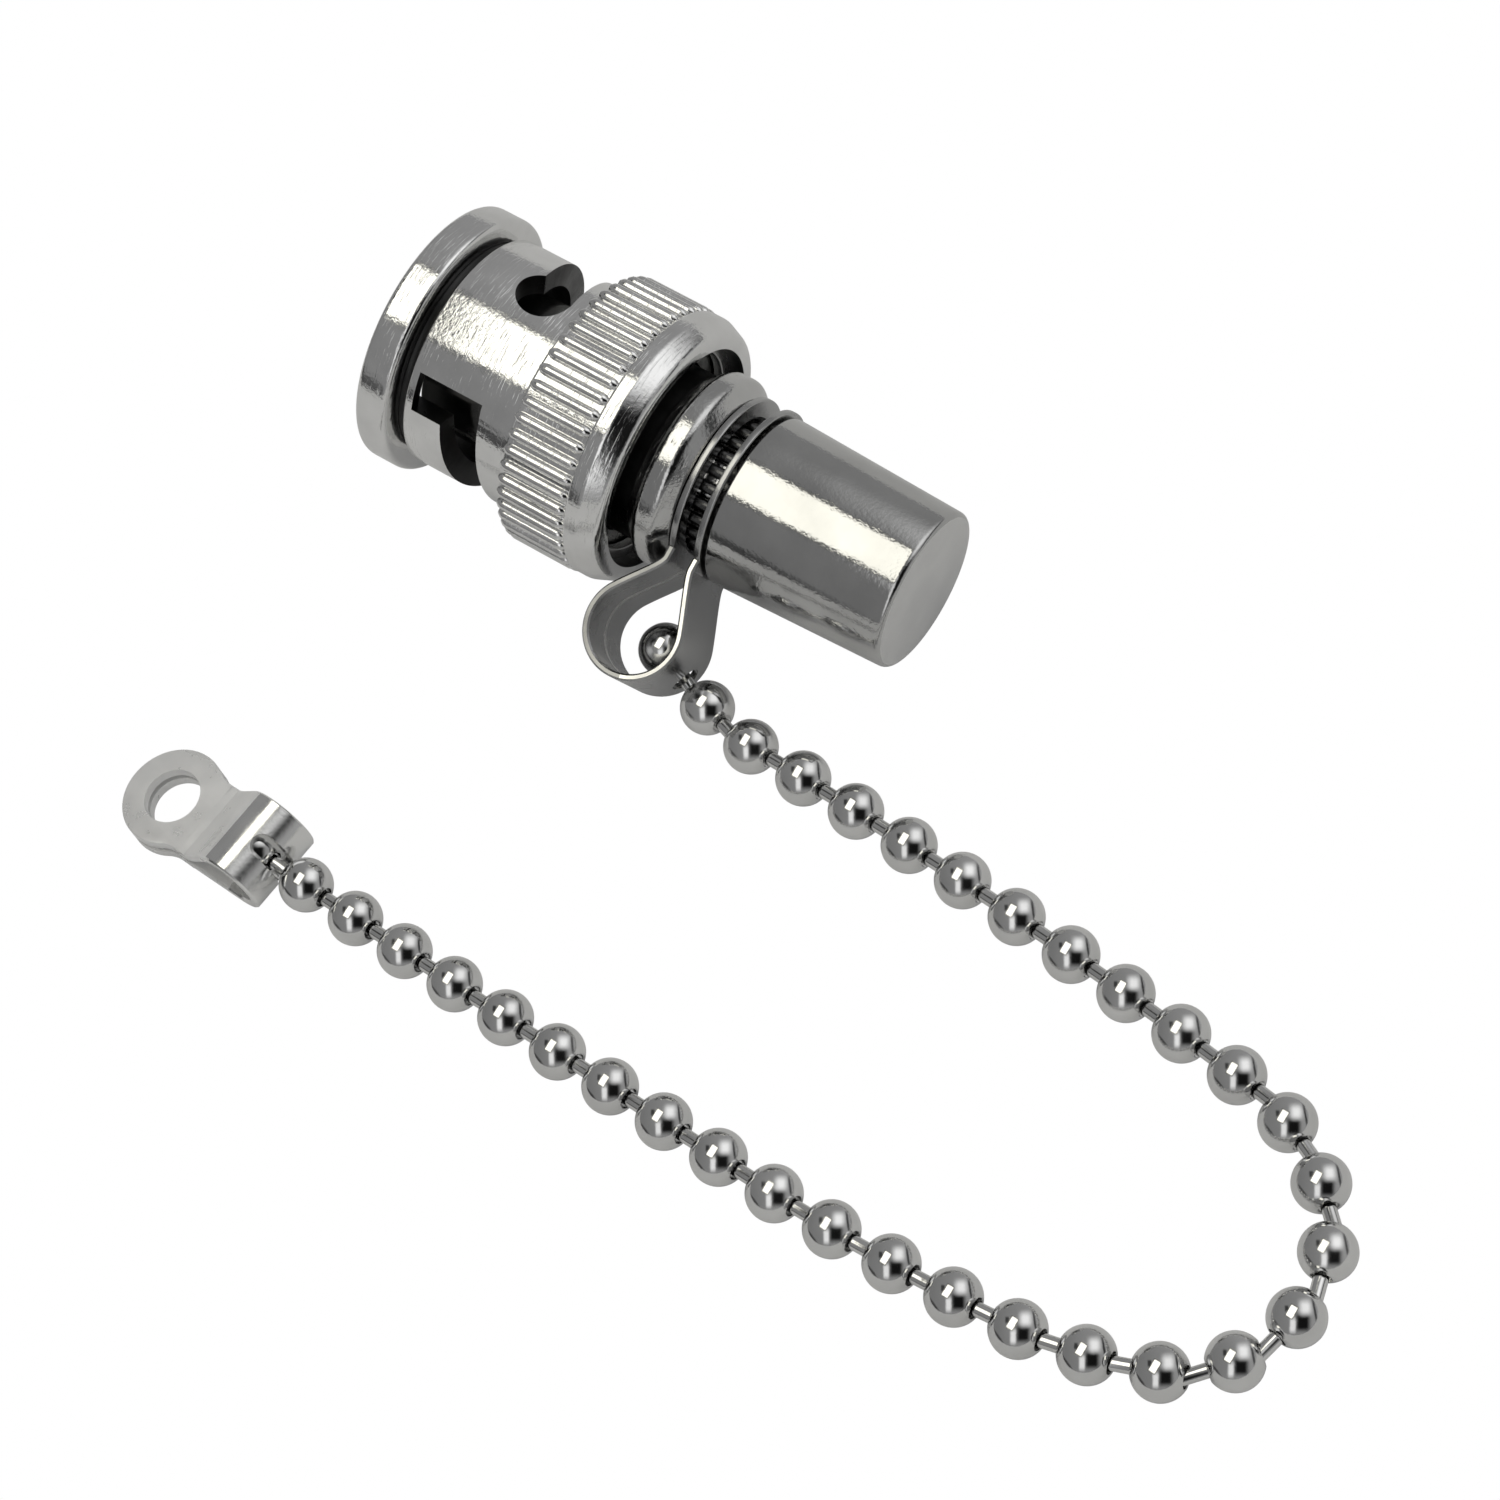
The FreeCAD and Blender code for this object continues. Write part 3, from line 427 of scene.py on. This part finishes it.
# End cap: a turned and polished cup, a little tapered, pressed over the body's spigot to close in the load.
# Its end face is bare and duller than its side.
CAP = finish("nickel_cap", (0.55, 0.55, 0.545), 0.06, 0.42, 0.18)
CAP_END = finish("nickel_cap_end", (0.78, 0.78, 0.77), 0.40, 0.6, 0.3, metallic=0.6)
cap_front, cap_back, cap_floor = -19.15, -28.9, -25.5
front_radius, back_radius, end_facing = 4.5, 4.16, -0.97
cap = shaped("cap_shell", turned([
    (cap_front, SPIGOT_RADIUS, 0.05), (cap_front, front_radius, 0.1), (cap_back, back_radius, 0.35),
    (cap_back, 0, 0), (cap_floor, 0, 0), (cap_floor, SPIGOT_RADIUS, 0.1)]), CAP, crease=50)
cap.data.materials.append(CAP_END)
for face in cap.data.polygons:
    face.material_index = int(face.normal.dot(AXIS) < end_facing)
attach(cap, "plug")
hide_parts("end_cap")

# Wave spring: a flat steel ring with three waves between the body's flange and the washer, made as a copy of
# the frame's solid.
work = bmesh.new()
work.from_mesh(frame["nodes"]["wave_spring"].data)
bmesh.ops.remove_doubles(work, verts=work.verts, dist=0.001 * MM)
wave = bpy.data.meshes.new("wave_ring")
work.to_mesh(wave)
work.free()
wave.materials.append(STEEL)
wave.set_sharp_from_angle(angle=math.radians(32))
spring = bpy.data.objects.new("wave_ring", wave)
scene.collection.objects.link(spring)
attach(spring, "plug")
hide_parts("wave_spring")
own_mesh(spring)

# Coupling nut: turned and nickel plated, with a rolled rim, a groove with a fine ridge, a slotted barrel, a
# seat for the knurl and a smooth shoulder. Its inside and the walls of its slots are painted near black as
# painted shade.
NICKEL = finish("nickel", (0.84, 0.84, 0.835), 0.085, 0.40, 0.35, 12)
rim_radius, rim_back, groove_radius, ridge_radius = 6.9, -1.8, 5.6, 5.8
barrel_radius, knurl_front, knurl_back, seat_radius = 6.1, -8.7, -12.6, 6.9
shoulder_radius, nut_back, nut_bore, mouth_bore, chamber_front = 7.15, -14.5, 5.9, 4.9, -9.1
mouth_edge, ring_groove, wall_facing = -0.4, 6.25, -0.5
RING_FRONT, RING_BACK = -13, -13.6
nut = shaped("nut_shell", turned([
    (mouth_edge, mouth_bore, 0.05), (0, 5.3, 0.05), (0, rim_radius, 0.3), (rim_back, rim_radius, 0.3),
    (rim_back, groove_radius, 0.1), (-2.1, groove_radius, 0.05), (-2.15, ridge_radius, 0.05),
    (-2.25, ridge_radius, 0.05), (-2.4, barrel_radius, 0.08), (-8.45, barrel_radius, 0.25),
    (knurl_front, 6.6, 0.1), (-8.75, seat_radius, 0), (knurl_back, seat_radius, 0),
    (-12.65, shoulder_radius, 0.2), (-13.4, shoulder_radius, 0.6), (nut_back, 6.7, 0.5),
    (nut_back, nut_bore, 0.08), (RING_BACK, nut_bore, 0), (RING_BACK, ring_groove, 0),
    (RING_FRONT, ring_groove, 0), (RING_FRONT, nut_bore, 0), (chamber_front, nut_bore, 0),
    (chamber_front, mouth_bore, 0)]), NICKEL, matrix=Matrix())


def closed_run(work, loops):
    """Joins a row of equal loops of corners with walls and closes both ends."""
    count = len(loops[0])
    for near, far in zip(loops, loops[1:]):
        for side in range(count):
            after = (side + 1) % count
            work.faces.new((near[side], near[after], far[after], far[side]))
    work.faces.new(loops[0])
    work.faces.new(list(reversed(loops[-1])))
    return work


def bent_bar(station, width, start, end, low, high, lift=0.0):
    """A bar bent round the axis from one angle to another, moved back by its lift on the way."""
    steps = 40
    work = bmesh.new()
    loops = []
    for step in range(steps + 1):
        share = step / steps
        angle = math.radians(start + (end - start) * share)
        x = station - lift * share
        loop = []
        for dx, r in ((-width / 2, low), (width / 2, low), (width / 2, high), (-width / 2, high)):
            loop.append(work.verts.new((x + dx, r * math.sin(angle), r * math.cos(angle))))
        loops.append(loop)
    return closed_run(work, loops)


def rod(radius, length, matrix, segments=48):
    """A bmesh of a round bar that lies along the matrix's Z axis."""
    work = bmesh.new()
    bmesh.ops.create_cone(work, cap_ends=True, segments=segments, radius1=radius, radius2=radius,
                          depth=length, matrix=matrix)
    return work


# Bayonet slots, half a turn apart: a lead-in channel inside the rim, a window where it comes through the
# barrel, a ramp that winds back round nearly a third of the barrel, and the round seat at its end.
first_entry, ramp_turn, slot_width, seat_size = 52, 108, 2.15, 1.45
inside, channel_depth, outside = 3.0, 5.5, 9.0
channel_middle, channel_length, window_middle, window_length = -2.5, 6.0, -4.65, 3.7
ramp_start, ramp_lift, seat_station = -5.4, 1.2, -6.2
for turn in (0, 180):
    entry = turn + first_entry
    half = math.degrees(slot_width / 2 / barrel_radius)
    carved(nut, bent_bar(channel_middle, channel_length, entry - half, entry + half, inside, channel_depth))
    carved(nut, bent_bar(window_middle, window_length, entry - half, entry + half, inside, outside))
    carved(nut, bent_bar(ramp_start, slot_width, entry - half, entry + ramp_turn, inside, outside, ramp_lift))
    carved(nut, rod(seat_size, 6, Matrix.Rotation(-math.radians(entry + ramp_turn), 4, "X")
                    @ Matrix.Translation((seat_station, 0, 6))))
# The bore and the slot walls take the near-black painted shade.
nut.data.materials.append(DEEP_SHADE)
for face in nut.data.polygons:
    outward = Vector((0, face.center.y, face.center.z))
    in_bore = outward.length < nut_bore and face.center.x < mouth_edge
    faces_axis = face.normal.dot(outward) < wall_facing * outward.length
    if in_bore or faces_axis:
        face.material_index = 1
placed(nut)
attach(nut, "nut")
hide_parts("coupling_nut")

# Nut ribs: the straight knurl rolled round the seat behind the barrel, for the fingers. Fifty ribs stand side
# by side, plated as the nut is.
rib_length, rib_width, rib_height = 3.95, 0.62, 0.35
nut_ribs = ribs("nut_knurl", {"Count": 50, "Base radius": seat_radius, "Front": knurl_front,
                              "Length": rib_length, "Rib width": rib_width, "Rib height": rib_height,
                              "Finish": NICKEL})
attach(nut_ribs, "nut")

# Snap ring: an open ring of square spring wire that sits in the nut's rear groove and holds the nut on the
# plug. Its gap is underneath, and its face shows as a thin bright arc.
ring_front, ring_radius, ring_bore = -13.05, 6.15, 5.35
gap_size, gap_middle = 2, (-13.3, 0, -5.8)
ring = shaped("snap_wire", turned([
    (ring_front, ring_bore, 0.1), (ring_front, ring_radius, 0.1), (RING_BACK, ring_radius, 0.1),
    (RING_BACK, ring_bore, 0.1)]), STEEL, matrix=Matrix())
carved(ring, block((gap_size, gap_size, gap_size), gap_middle))
placed(ring, crease=40)
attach(ring, "nut")
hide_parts("snap_ring")


# Strap clip: one plated strip folded round the held bead, with an eye at each end that turns on the neck and
# a round hole in the bend for the link. Its rear cut edges carry a painted highlight, its front cut edges
# painted shade, and a painted reflection line runs along the inside of its front leg.
def strip(path, gauge, width, edge, line=()):
    """Sheet that follows a flat path of (x, y) points, its long edges eased, with extra rows on one face."""
    work = bmesh.new()
    half, side = gauge / 2, width / 2
    loops = []
    for i, point in enumerate(path):
        before, after = Vector(path[max(i - 1, 0)]), Vector(path[min(i + 1, len(path) - 1)])
        way = (after - before).normalized()
        flat = Vector((-way.y, way.x))
        loop = []
        for off, z in ((half, side - edge), (half - edge, side), (-half + edge, side), (-half, side - edge),
                       (-half, -side + edge), (-half + edge, -side), (half - edge, -side),
                       (half, -side + edge), *((half, level) for level in line)):
            spot = Vector(point) + flat * off
            loop.append(work.verts.new((spot.x, spot.y, z)))
        loops.append(loop)
    return closed_run(work, loops)


def loop_path(middle, radius, first, second, leave, ease):
    """From one neck point onto a circle, round its far side and back to the other neck point, all smooth."""
    bend_steps, round_steps, reach_share = 12, 64, 0.4
    middle, first, second, leave = Vector(middle), Vector(first), Vector(second), Vector(leave)
    angles = []
    for neck, side in ((first, 1), (second, -1)):
        away = neck - middle
        angles.append(math.atan2(away.y, away.x) + side * math.acos(radius / away.length))
    start, end = angles
    while end < start:
        end += TAU
    bends = []
    for neck, angle, side in ((first, start, -1), (second, end, 1)):
        touch = middle + Vector((math.cos(angle), math.sin(angle))) * radius
        ahead = Vector((-math.sin(angle), math.cos(angle))) * side
        reach = (touch - neck).length * reach_share
        bend = []
        for step in range(bend_steps):
            t = step / bend_steps
            spot = (neck * (1 - t) ** 3 + (neck + leave * ease) * 3 * t * (1 - t) ** 2
                    + (touch + ahead * reach) * 3 * t * t * (1 - t) + touch * t ** 3)
            bend.append(tuple(spot))
        bends.append(bend)
    spots = bends[0]
    for step in range(round_steps + 1):
        angle = start + (end - start) * step / round_steps
        spots.append((middle.x + radius * math.cos(angle), middle.y + radius * math.sin(angle)))
    return spots + list(reversed(bends[1]))


STRIP = finish("nickel_strip", (0.46, 0.46, 0.46), 0.22, 0.2, 0.2)
# Cut-edge colours: painted shade on the front part's edges, a painted highlight on the rear part's edges.
PAINTED_SHADE_RIM = finish("strip_edge_painted_shade", (0.36, 0.36, 0.355), 0.30, 0.2, 0.1)
PAINTED_HIGHLIGHT_EDGE = finish("strip_edge_painted_highlight", (0.95, 0.94, 0.90), 0.30, 0.2, 0.1)
# A painted reflection: a near-white matt line along the inside of the front leg.
PAINTED_REFLECTION_LINE = finish("strip_painted_reflection", (0.98, 0.98, 0.96), 0.25, 0.2, 0.1, metallic=0.1)
clip_lean = 19
CLIP = PLUG @ Matrix.Rotation(-math.radians(clip_lean), 4, "X")
clip_gauge, clip_width, clip_ease, clip_loop, loop_middle = 0.35, 5.2, 0.09, 2.4, (-17.65, 8.3)
front_eye, rear_eye, eye_bore, eye_radius = -17.4, -18.8, 3.75, 4.7
eye_foot, loop_foot, link_hole, link_drill = 3.95, 4.5, 0.75, 2.4
reflection_rows, reflection_from, highlight_behind, edge_facing = (-0.2, 0.15), -17.9, -18.2, 0.9
path = loop_path(loop_middle, clip_loop, (front_eye, loop_foot), (rear_eye, loop_foot), (0, 1), 0.4)
path = [(front_eye, eye_foot)] + path + [(rear_eye, eye_foot)]
clip = shaped("clip_strap", strip(path, clip_gauge, clip_width, clip_ease, reflection_rows), STRIP,
              matrix=Matrix())
for coat in (PAINTED_SHADE_RIM, PAINTED_HIGHLIGHT_EDGE, PAINTED_REFLECTION_LINE):
    clip.data.materials.append(coat)
# Flat cut edges get the painted highlight behind highlight_behind and the painted shade ahead of it.
for face in clip.data.polygons:
    if abs(face.normal.z) > edge_facing:
        face.material_index = 2 if face.center.x < highlight_behind else 1
    # The narrow rows on the inner face, ahead of the rear leg, take the painted reflection line.
    elif abs(face.center.z - sum(reflection_rows) / 2) < 0.01 and face.center.x > reflection_from:
        face.material_index = 3
for station in (front_eye, rear_eye):
    front, back = station + clip_gauge / 2, station - clip_gauge / 2
    carved(clip, turned([(front, eye_bore, 0.06), (front, eye_radius, 0.08), (back, eye_radius, 0.08),
                         (back, eye_bore, 0.06)]), "UNION")
held = CLIP.inverted() @ Vector(joints["link_00_hinge"]["pos_m"])
way = CLIP.inverted() @ Vector(joints["link_01_hinge"]["pos_m"]) - held
towards_link = way.to_track_quat("Z", "Y").to_matrix().to_4x4()
carved(clip, rod(link_hole, link_drill, Matrix.Translation(held) @ towards_link, 40))
placed(clip, CLIP, 35)
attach(clip, "clip")
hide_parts("chain_clip")

# Beads: hollow plated balls pressed from tube, with a hole at each end. Each carries the wire link that runs
# on into the next bead, where its head is held behind the lip.
BEAD = finish("nickel_bead", (0.76, 0.76, 0.755), 0.10, 0.08, 0.1)
BEADS, BEAD_RADIUS, HOLE_TO_MIDDLE = 34, 1.35, 1.15
link_length, held_link_length = 3.38, 3.83
stops = [Vector(joints["link_%02d_hinge" % k]["pos_m"]) for k in range(BEADS)]
stops.append(Vector(joints["terminal_hinge"]["pos_m"]))


def bead_outline(span, has_link):
    """Half the section of a bead and its link, from the pivot in the bead's hole."""
    hole, lip, ball_steps = 0.55, 0.07, 40
    pocket, pocket_radius, throat, throat_radius = 0.74, 0.73, 0.2, 0.48
    wire, head, head_front, head_back = 0.35, 0.52, 0.3, 0.44
    points = [(pocket, 0.0, 0), (pocket, pocket_radius, 0), (lip, 0.7, 0), (lip, hole, 0),
              (-0.03, hole - 0.02, 0)]
    first, last = math.asin((hole + 0.05) / BEAD_RADIUS), math.pi - math.asin(hole / BEAD_RADIUS)
    for step in range(ball_steps + 1):
        angle = first + (last - first) * step / ball_steps
        points.append((HOLE_TO_MIDDLE - BEAD_RADIUS * math.cos(angle), BEAD_RADIUS * math.sin(angle), 0))
    way_out = HOLE_TO_MIDDLE + math.sqrt(BEAD_RADIUS * BEAD_RADIUS - hole * hole)
    points += [(way_out - 0.02, hole - 0.06, 0), (way_out - throat, throat_radius, 0)]
    if has_link:
        points += [(way_out - throat, wire, 0.03), (way_out, wire, 0), (span + head_front, wire, 0.05),
                   (span + head_back, head, 0.05), (span + head_back, 0.0, 0)]
    else:
        points += [(way_out - throat, 0.0, 0)]
    return points


for k in range(BEADS):
    run = (stops[k + 1] - stops[k]).normalized()
    span = link_length if k else held_link_length
    pivot = stops[k] if k else stops[1] - run * span * MM
    across = Vector((0, 0, 1)).cross(run).normalized()
    up = run.cross(across)
    seat = Matrix.Translation(pivot) @ Matrix((run, across, up)).transposed().to_4x4() @ Matrix.Scale(MM, 4)
    outline = bead_outline(span, k < BEADS - 1)
    ball = shaped("ball_%02d" % k, turned(outline, 72), BEAD, seat, 38)
    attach(ball, "link_%02d" % k)
    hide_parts("bead_%02d" % k)

# Ring terminal: one plated strip folded round the last bead, its ends punched as two eyes that lie one on the
# other, with a slot round the fold for the link. The leaves are satin, the fold is polished.
TERMINAL = finish("nickel_terminal", (0.95, 0.95, 0.945), 0.30, 0.25, 0.12, metallic=0.4)
FOLD = finish("nickel_fold", (0.92, 0.92, 0.91), 0.17, 0.2, 0.2)
gauge, leaf_gap, width, bead_gap, ease = 0.55, 0.3, 4.3, 0.06, 0.08
fold_foot, strip_end, leaf_root = 3.5, 4.0, 3.45
eye_reach, eye_radius, eye_hole, blend, fold_end = 6.4, 2.7, 1.5, 1.6, 0.7
low, high, middle = gauge / 2, gauge * 1.5 + leaf_gap, gauge + BEAD_RADIUS + bead_gap
last, heading = stops[-1], stops[-1] - stops[-2]
LIE = (Matrix.Translation((last.x, last.y, last.z - middle * MM))
       @ Matrix.Rotation(math.atan2(heading.y, heading.x), 4, "Z") @ Matrix.Scale(MM, 4))
path = loop_path((0, middle), middle - low, (fold_foot, high), (fold_foot, low), (-1, 0), 0.25)
path = [(strip_end, high)] + path + [(strip_end, low)]
terminal = shaped("terminal_strip", strip(path, gauge, width, ease), TERMINAL,
                  matrix=Matrix.Rotation(math.radians(90), 4, "X"))


def leaf_outline(reach, eye, half, blend, start):
    """Half the outline of a leaf, from its root along the edge, through a hollow blend and round the eye."""
    blend_steps, eye_steps = 12, 48
    spots = [(start, half)]
    run = math.sqrt((eye + blend) ** 2 - (half + blend) ** 2)
    turn = math.atan2(half + blend, -run)
    for step in range(blend_steps + 1):
        angle = -math.pi / 2 + (turn - math.pi / 2) * step / blend_steps
        spots.append((reach - run + blend * math.cos(angle), half + blend + blend * math.sin(angle)))
    for step in range(1, eye_steps + 1):
        angle = turn * (1 - step / eye_steps)
        spots.append((reach + eye * math.cos(angle), eye * math.sin(angle)))
    return spots


edge = leaf_outline(eye_reach, eye_radius, width / 2, blend, leaf_root)
edge = edge + [(x, -y) for x, y in reversed(edge[:-1])]
for level in (low, high):
    leaf = bmesh.new()
    faces = [[leaf.verts.new((x, y, level + side * gauge / 2)) for x, y in edge] for side in (-1, 1)]
    for face in faces:
        leaf.faces.new(face)
    for i in range(len(edge)):
        after = (i + 1) % len(edge)
        leaf.faces.new((faces[0][i], faces[0][after], faces[1][after], faces[1][i]))
    bmesh.ops.recalc_face_normals(leaf, faces=leaf.faces)
    rims = []
    for rim in leaf.edges:
        start, end = rim.verts[0].co, rim.verts[1].co
        if abs(start.z - end.z) < 1e-5 and start.x > leaf_root + 0.01:
            rims.append(rim)
    bmesh.ops.bevel(leaf, geom=rims, offset=ease, segments=3, affect="EDGES", profile=0.5)
    carved(terminal, leaf, "UNION")
carved(terminal, rod(eye_hole, 6, Matrix.Translation((eye_reach, 0, 1)), 96))
slot_half, slot_reach, slot_start, slot_end, slot_step = 0.62, 2.6, -40, 50, 5
sector = [(0.0, 0.0)]
for angle in range(slot_start, slot_end + slot_step, slot_step):
    sector.append((-slot_reach * math.cos(math.radians(angle)), slot_reach * math.sin(math.radians(angle))))
slot = bmesh.new()
closed_run(slot, [[slot.verts.new((x, y, middle + z)) for x, z in sector] for y in (-slot_half, slot_half)])
carved(terminal, slot)
for angle in (slot_start, slot_end):
    carved(terminal, rod(slot_half, slot_reach, Matrix.Translation((0, 0, middle))
                         @ Matrix.Rotation(math.radians(angle - 90), 4, "Y")
                         @ Matrix.Translation((0, 0, slot_reach / 2))))
terminal.data.materials.append(FOLD)
for face in terminal.data.polygons:
    face.material_index = int(face.center.x < fold_end)
placed(terminal, LIE, 35)
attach(terminal, "terminal")
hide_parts("ring_terminal")

# Bench: a flat sheet just under the plug. It is plain white to the camera, and pale and matt to what stands
# on it or mirrors it.
bench_half, bench_gap = 3.0, 0.02
sheet = bpy.data.meshes.new("bench")
sheet.from_pydata([(-bench_half, -bench_half, 0), (bench_half, -bench_half, 0), (bench_half, bench_half, 0),
                   (-bench_half, bench_half, 0)], [], [(0, 1, 2, 3)])
bench = bpy.data.objects.new("bench", sheet)
scene.collection.objects.link(bench)
bench.location.z = cad_box[0][2] - bench_gap * MM
paint = bpy.data.materials.new("bench_paint")
paint.use_nodes = True
nodes, links = paint.node_tree.nodes, paint.node_tree.links
pale = nodes["Principled BSDF"]
for label, value in (("Base Color", (0.62, 0.62, 0.62, 1)), ("Roughness", 0.9), ("Specular IOR Level", 0.1),
                     ("Emission Color", (1, 1, 1, 1)), ("Emission Strength", 0.11)):
    pale.inputs[label].default_value = value
white, ray, choice = [nodes.new("ShaderNode" + kind) for kind in ("Emission", "LightPath", "MixShader")]
links.new(ray.outputs["Is Camera Ray"], choice.inputs[0])
links.new(pale.outputs[0], choice.inputs[1])
links.new(white.outputs[0], choice.inputs[2])
links.new(choice.outputs[0], nodes["Material Output"].inputs["Surface"])
bench.data.materials.append(paint)

# Room: a grey studio, laid out as a polished bead shows it to the camera, by the direction half way between
# the mirrored ray and the camera. Each patch is a soft-edged rectangle there. The camera sees plain white.
room = bpy.data.worlds.new("room")
scene.world = room
room.use_nodes = True
nodes, links = room.node_tree.nodes, room.node_tree.links
nodes.clear()


def vector_step(operation, first, second=None):
    """One vector operation on the ray's direction."""
    node = nodes.new("ShaderNodeVectorMath")
    node.operation = operation
    links.new(first, node.inputs[0])
    if second is not None:
        node.inputs[1].default_value = second
    return node.outputs["Value" if operation == "DOT_PRODUCT" else "Vector"]


def number_step(operation, first, second=0.0):
    """One operation on numbers or feeds."""
    node = nodes.new("ShaderNodeMath")
    node.operation = operation
    for place, feed in enumerate((first, second)):
        if isinstance(feed, (int, float)):
            node.inputs[place].default_value = feed
        else:
            links.new(feed, node.inputs[place])
    return node.outputs[0]


def patched(under, middle, half, lean, soft, color):
    """The room so far with one more patch over it, leaning by an angle and fading out over its soft edge."""
    turn = math.radians(lean)
    u, v = number_step("SUBTRACT", across, middle[0]), number_step("SUBTRACT", upward, middle[1])
    along = number_step("ADD", number_step("MULTIPLY", u, math.cos(turn)),
                        number_step("MULTIPLY", v, math.sin(turn)))
    aside = number_step("SUBTRACT", number_step("MULTIPLY", v, math.cos(turn)),
                        number_step("MULTIPLY", u, math.sin(turn)))
    covers = []
    for way, reach in ((along, half[0]), (aside, half[1])):
        edge = nodes.new("ShaderNodeMapRange")
        edge.interpolation_type = "SMOOTHSTEP"
        edge.inputs[1].default_value, edge.inputs[2].default_value = 1 + soft, 1 - soft
        links.new(number_step("DIVIDE", number_step("ABSOLUTE", way), reach), edge.inputs[0])
        covers.append(edge.outputs[0])
    mix = nodes.new("ShaderNodeMix")
    mix.data_type = "RGBA"
    links.new(number_step("MULTIPLY", *covers), mix.inputs["Factor"])
    links.new(under, mix.inputs[6])
    mix.inputs[7].default_value = (*color, 1)
    return mix.outputs[2]


to_camera = (-0.4139, 0.2619, 0.8718)
camera_right = (-0.8139, -0.5353, -0.2256)
camera_up = (0.4076, -0.8030, 0.4348)
ray = nodes.new("ShaderNodeTexCoord").outputs["Generated"]
halfway = vector_step("NORMALIZE", vector_step("ADD", ray, to_camera))
across = vector_step("DOT_PRODUCT", halfway, camera_right)
upward = vector_step("DOT_PRODUCT", halfway, camera_up)
fade = nodes.new("ShaderNodeMapRange")
for place, end in enumerate((-0.7, 0.5, 0.22, 0.34), 1):
    fade.inputs[place].default_value = end
links.new(across, fade.inputs[0])
walls = fade.outputs[0]
for patch in (((0.54, 0.25), (0.035, 0.34), 8, 0.5, (0.05, 0.05, 0.05)),
              ((-0.66, -0.22), (0.26, 0.035), -52, 0.5, (0.06, 0.06, 0.06)),
              ((-0.36, 0.31), (0.06, 0.10), 0, 0.4, (0.05, 0.05, 0.05)),
              ((0.15, -0.12), (0.21, 0.26), 0, 0.45, (0.008, 0.008, 0.008)),
              ((-0.17, -0.22), (0.085, 0.22), 0, 0.5, (1.0, 1.0, 1.0)),
              ((0.24, 0.34), (0.17, 0.20), 0, 0.75, (1.1, 1.1, 1.1)),
              ((-0.199, 0.216), (0.225, 0.133), 59, 0.06, (0.06, 0.06, 0.06)),
              ((-0.199, 0.216), (0.20, 0.11), 59, 0.08, (1.95, 1.91, 1.72))):
    walls = patched(walls, *patch)
mirrored, plain, seen, pick, out = [nodes.new("ShaderNode" + kind) for kind in (
    "Background", "Background", "LightPath", "MixShader", "OutputWorld")]
plain.inputs["Color"].default_value = (1, 1, 1, 1)
links.new(walls, mirrored.inputs["Color"])
links.new(seen.outputs["Is Camera Ray"], pick.inputs[0])
links.new(mirrored.outputs[0], pick.inputs[1])
links.new(plain.outputs[0], pick.inputs[2])
links.new(pick.outputs[0], out.inputs["Surface"])

# Lamp: one weak soft box high over the bench, for the shade between the pieces. The pieces don't mirror it,
# because the room holds all that they mirror.
lamp = bpy.data.lights.new("soft_box", "AREA")
lamp.size, lamp.energy = 0.3, 0.25
lamp_stand = bpy.data.objects.new("soft_box", lamp)
scene.collection.objects.link(lamp_stand)
lamp_stand.location = (-0.02, 0.0, 0.6)
lamp_stand.visible_glossy = False

# Camera: above and behind the plug with the chain side towards it, as in the photograph. A long lens, about
# 215 mm away.
right, up, back = (-0.7975, -0.5449, -0.2587), (0.3753, -0.784, 0.4944), (-0.4723, 0.2972, 0.8298)
stand = (-0.120579, 0.070983, 0.161715)
camera = bpy.data.objects.new("camera", bpy.data.cameras.new("camera"))
scene.collection.objects.link(camera)
camera.matrix_world = Matrix.Translation(stand) @ Matrix((right, up, back)).transposed().to_4x4()
camera.data.sensor_fit = "HORIZONTAL"
camera.data.angle = math.radians(20.037)
camera.data.clip_start, camera.data.clip_end = 0.01, 20
scene.camera = camera
scene.render.resolution_x = scene.render.resolution_y = 1500
scene.view_settings.view_transform = "Standard"
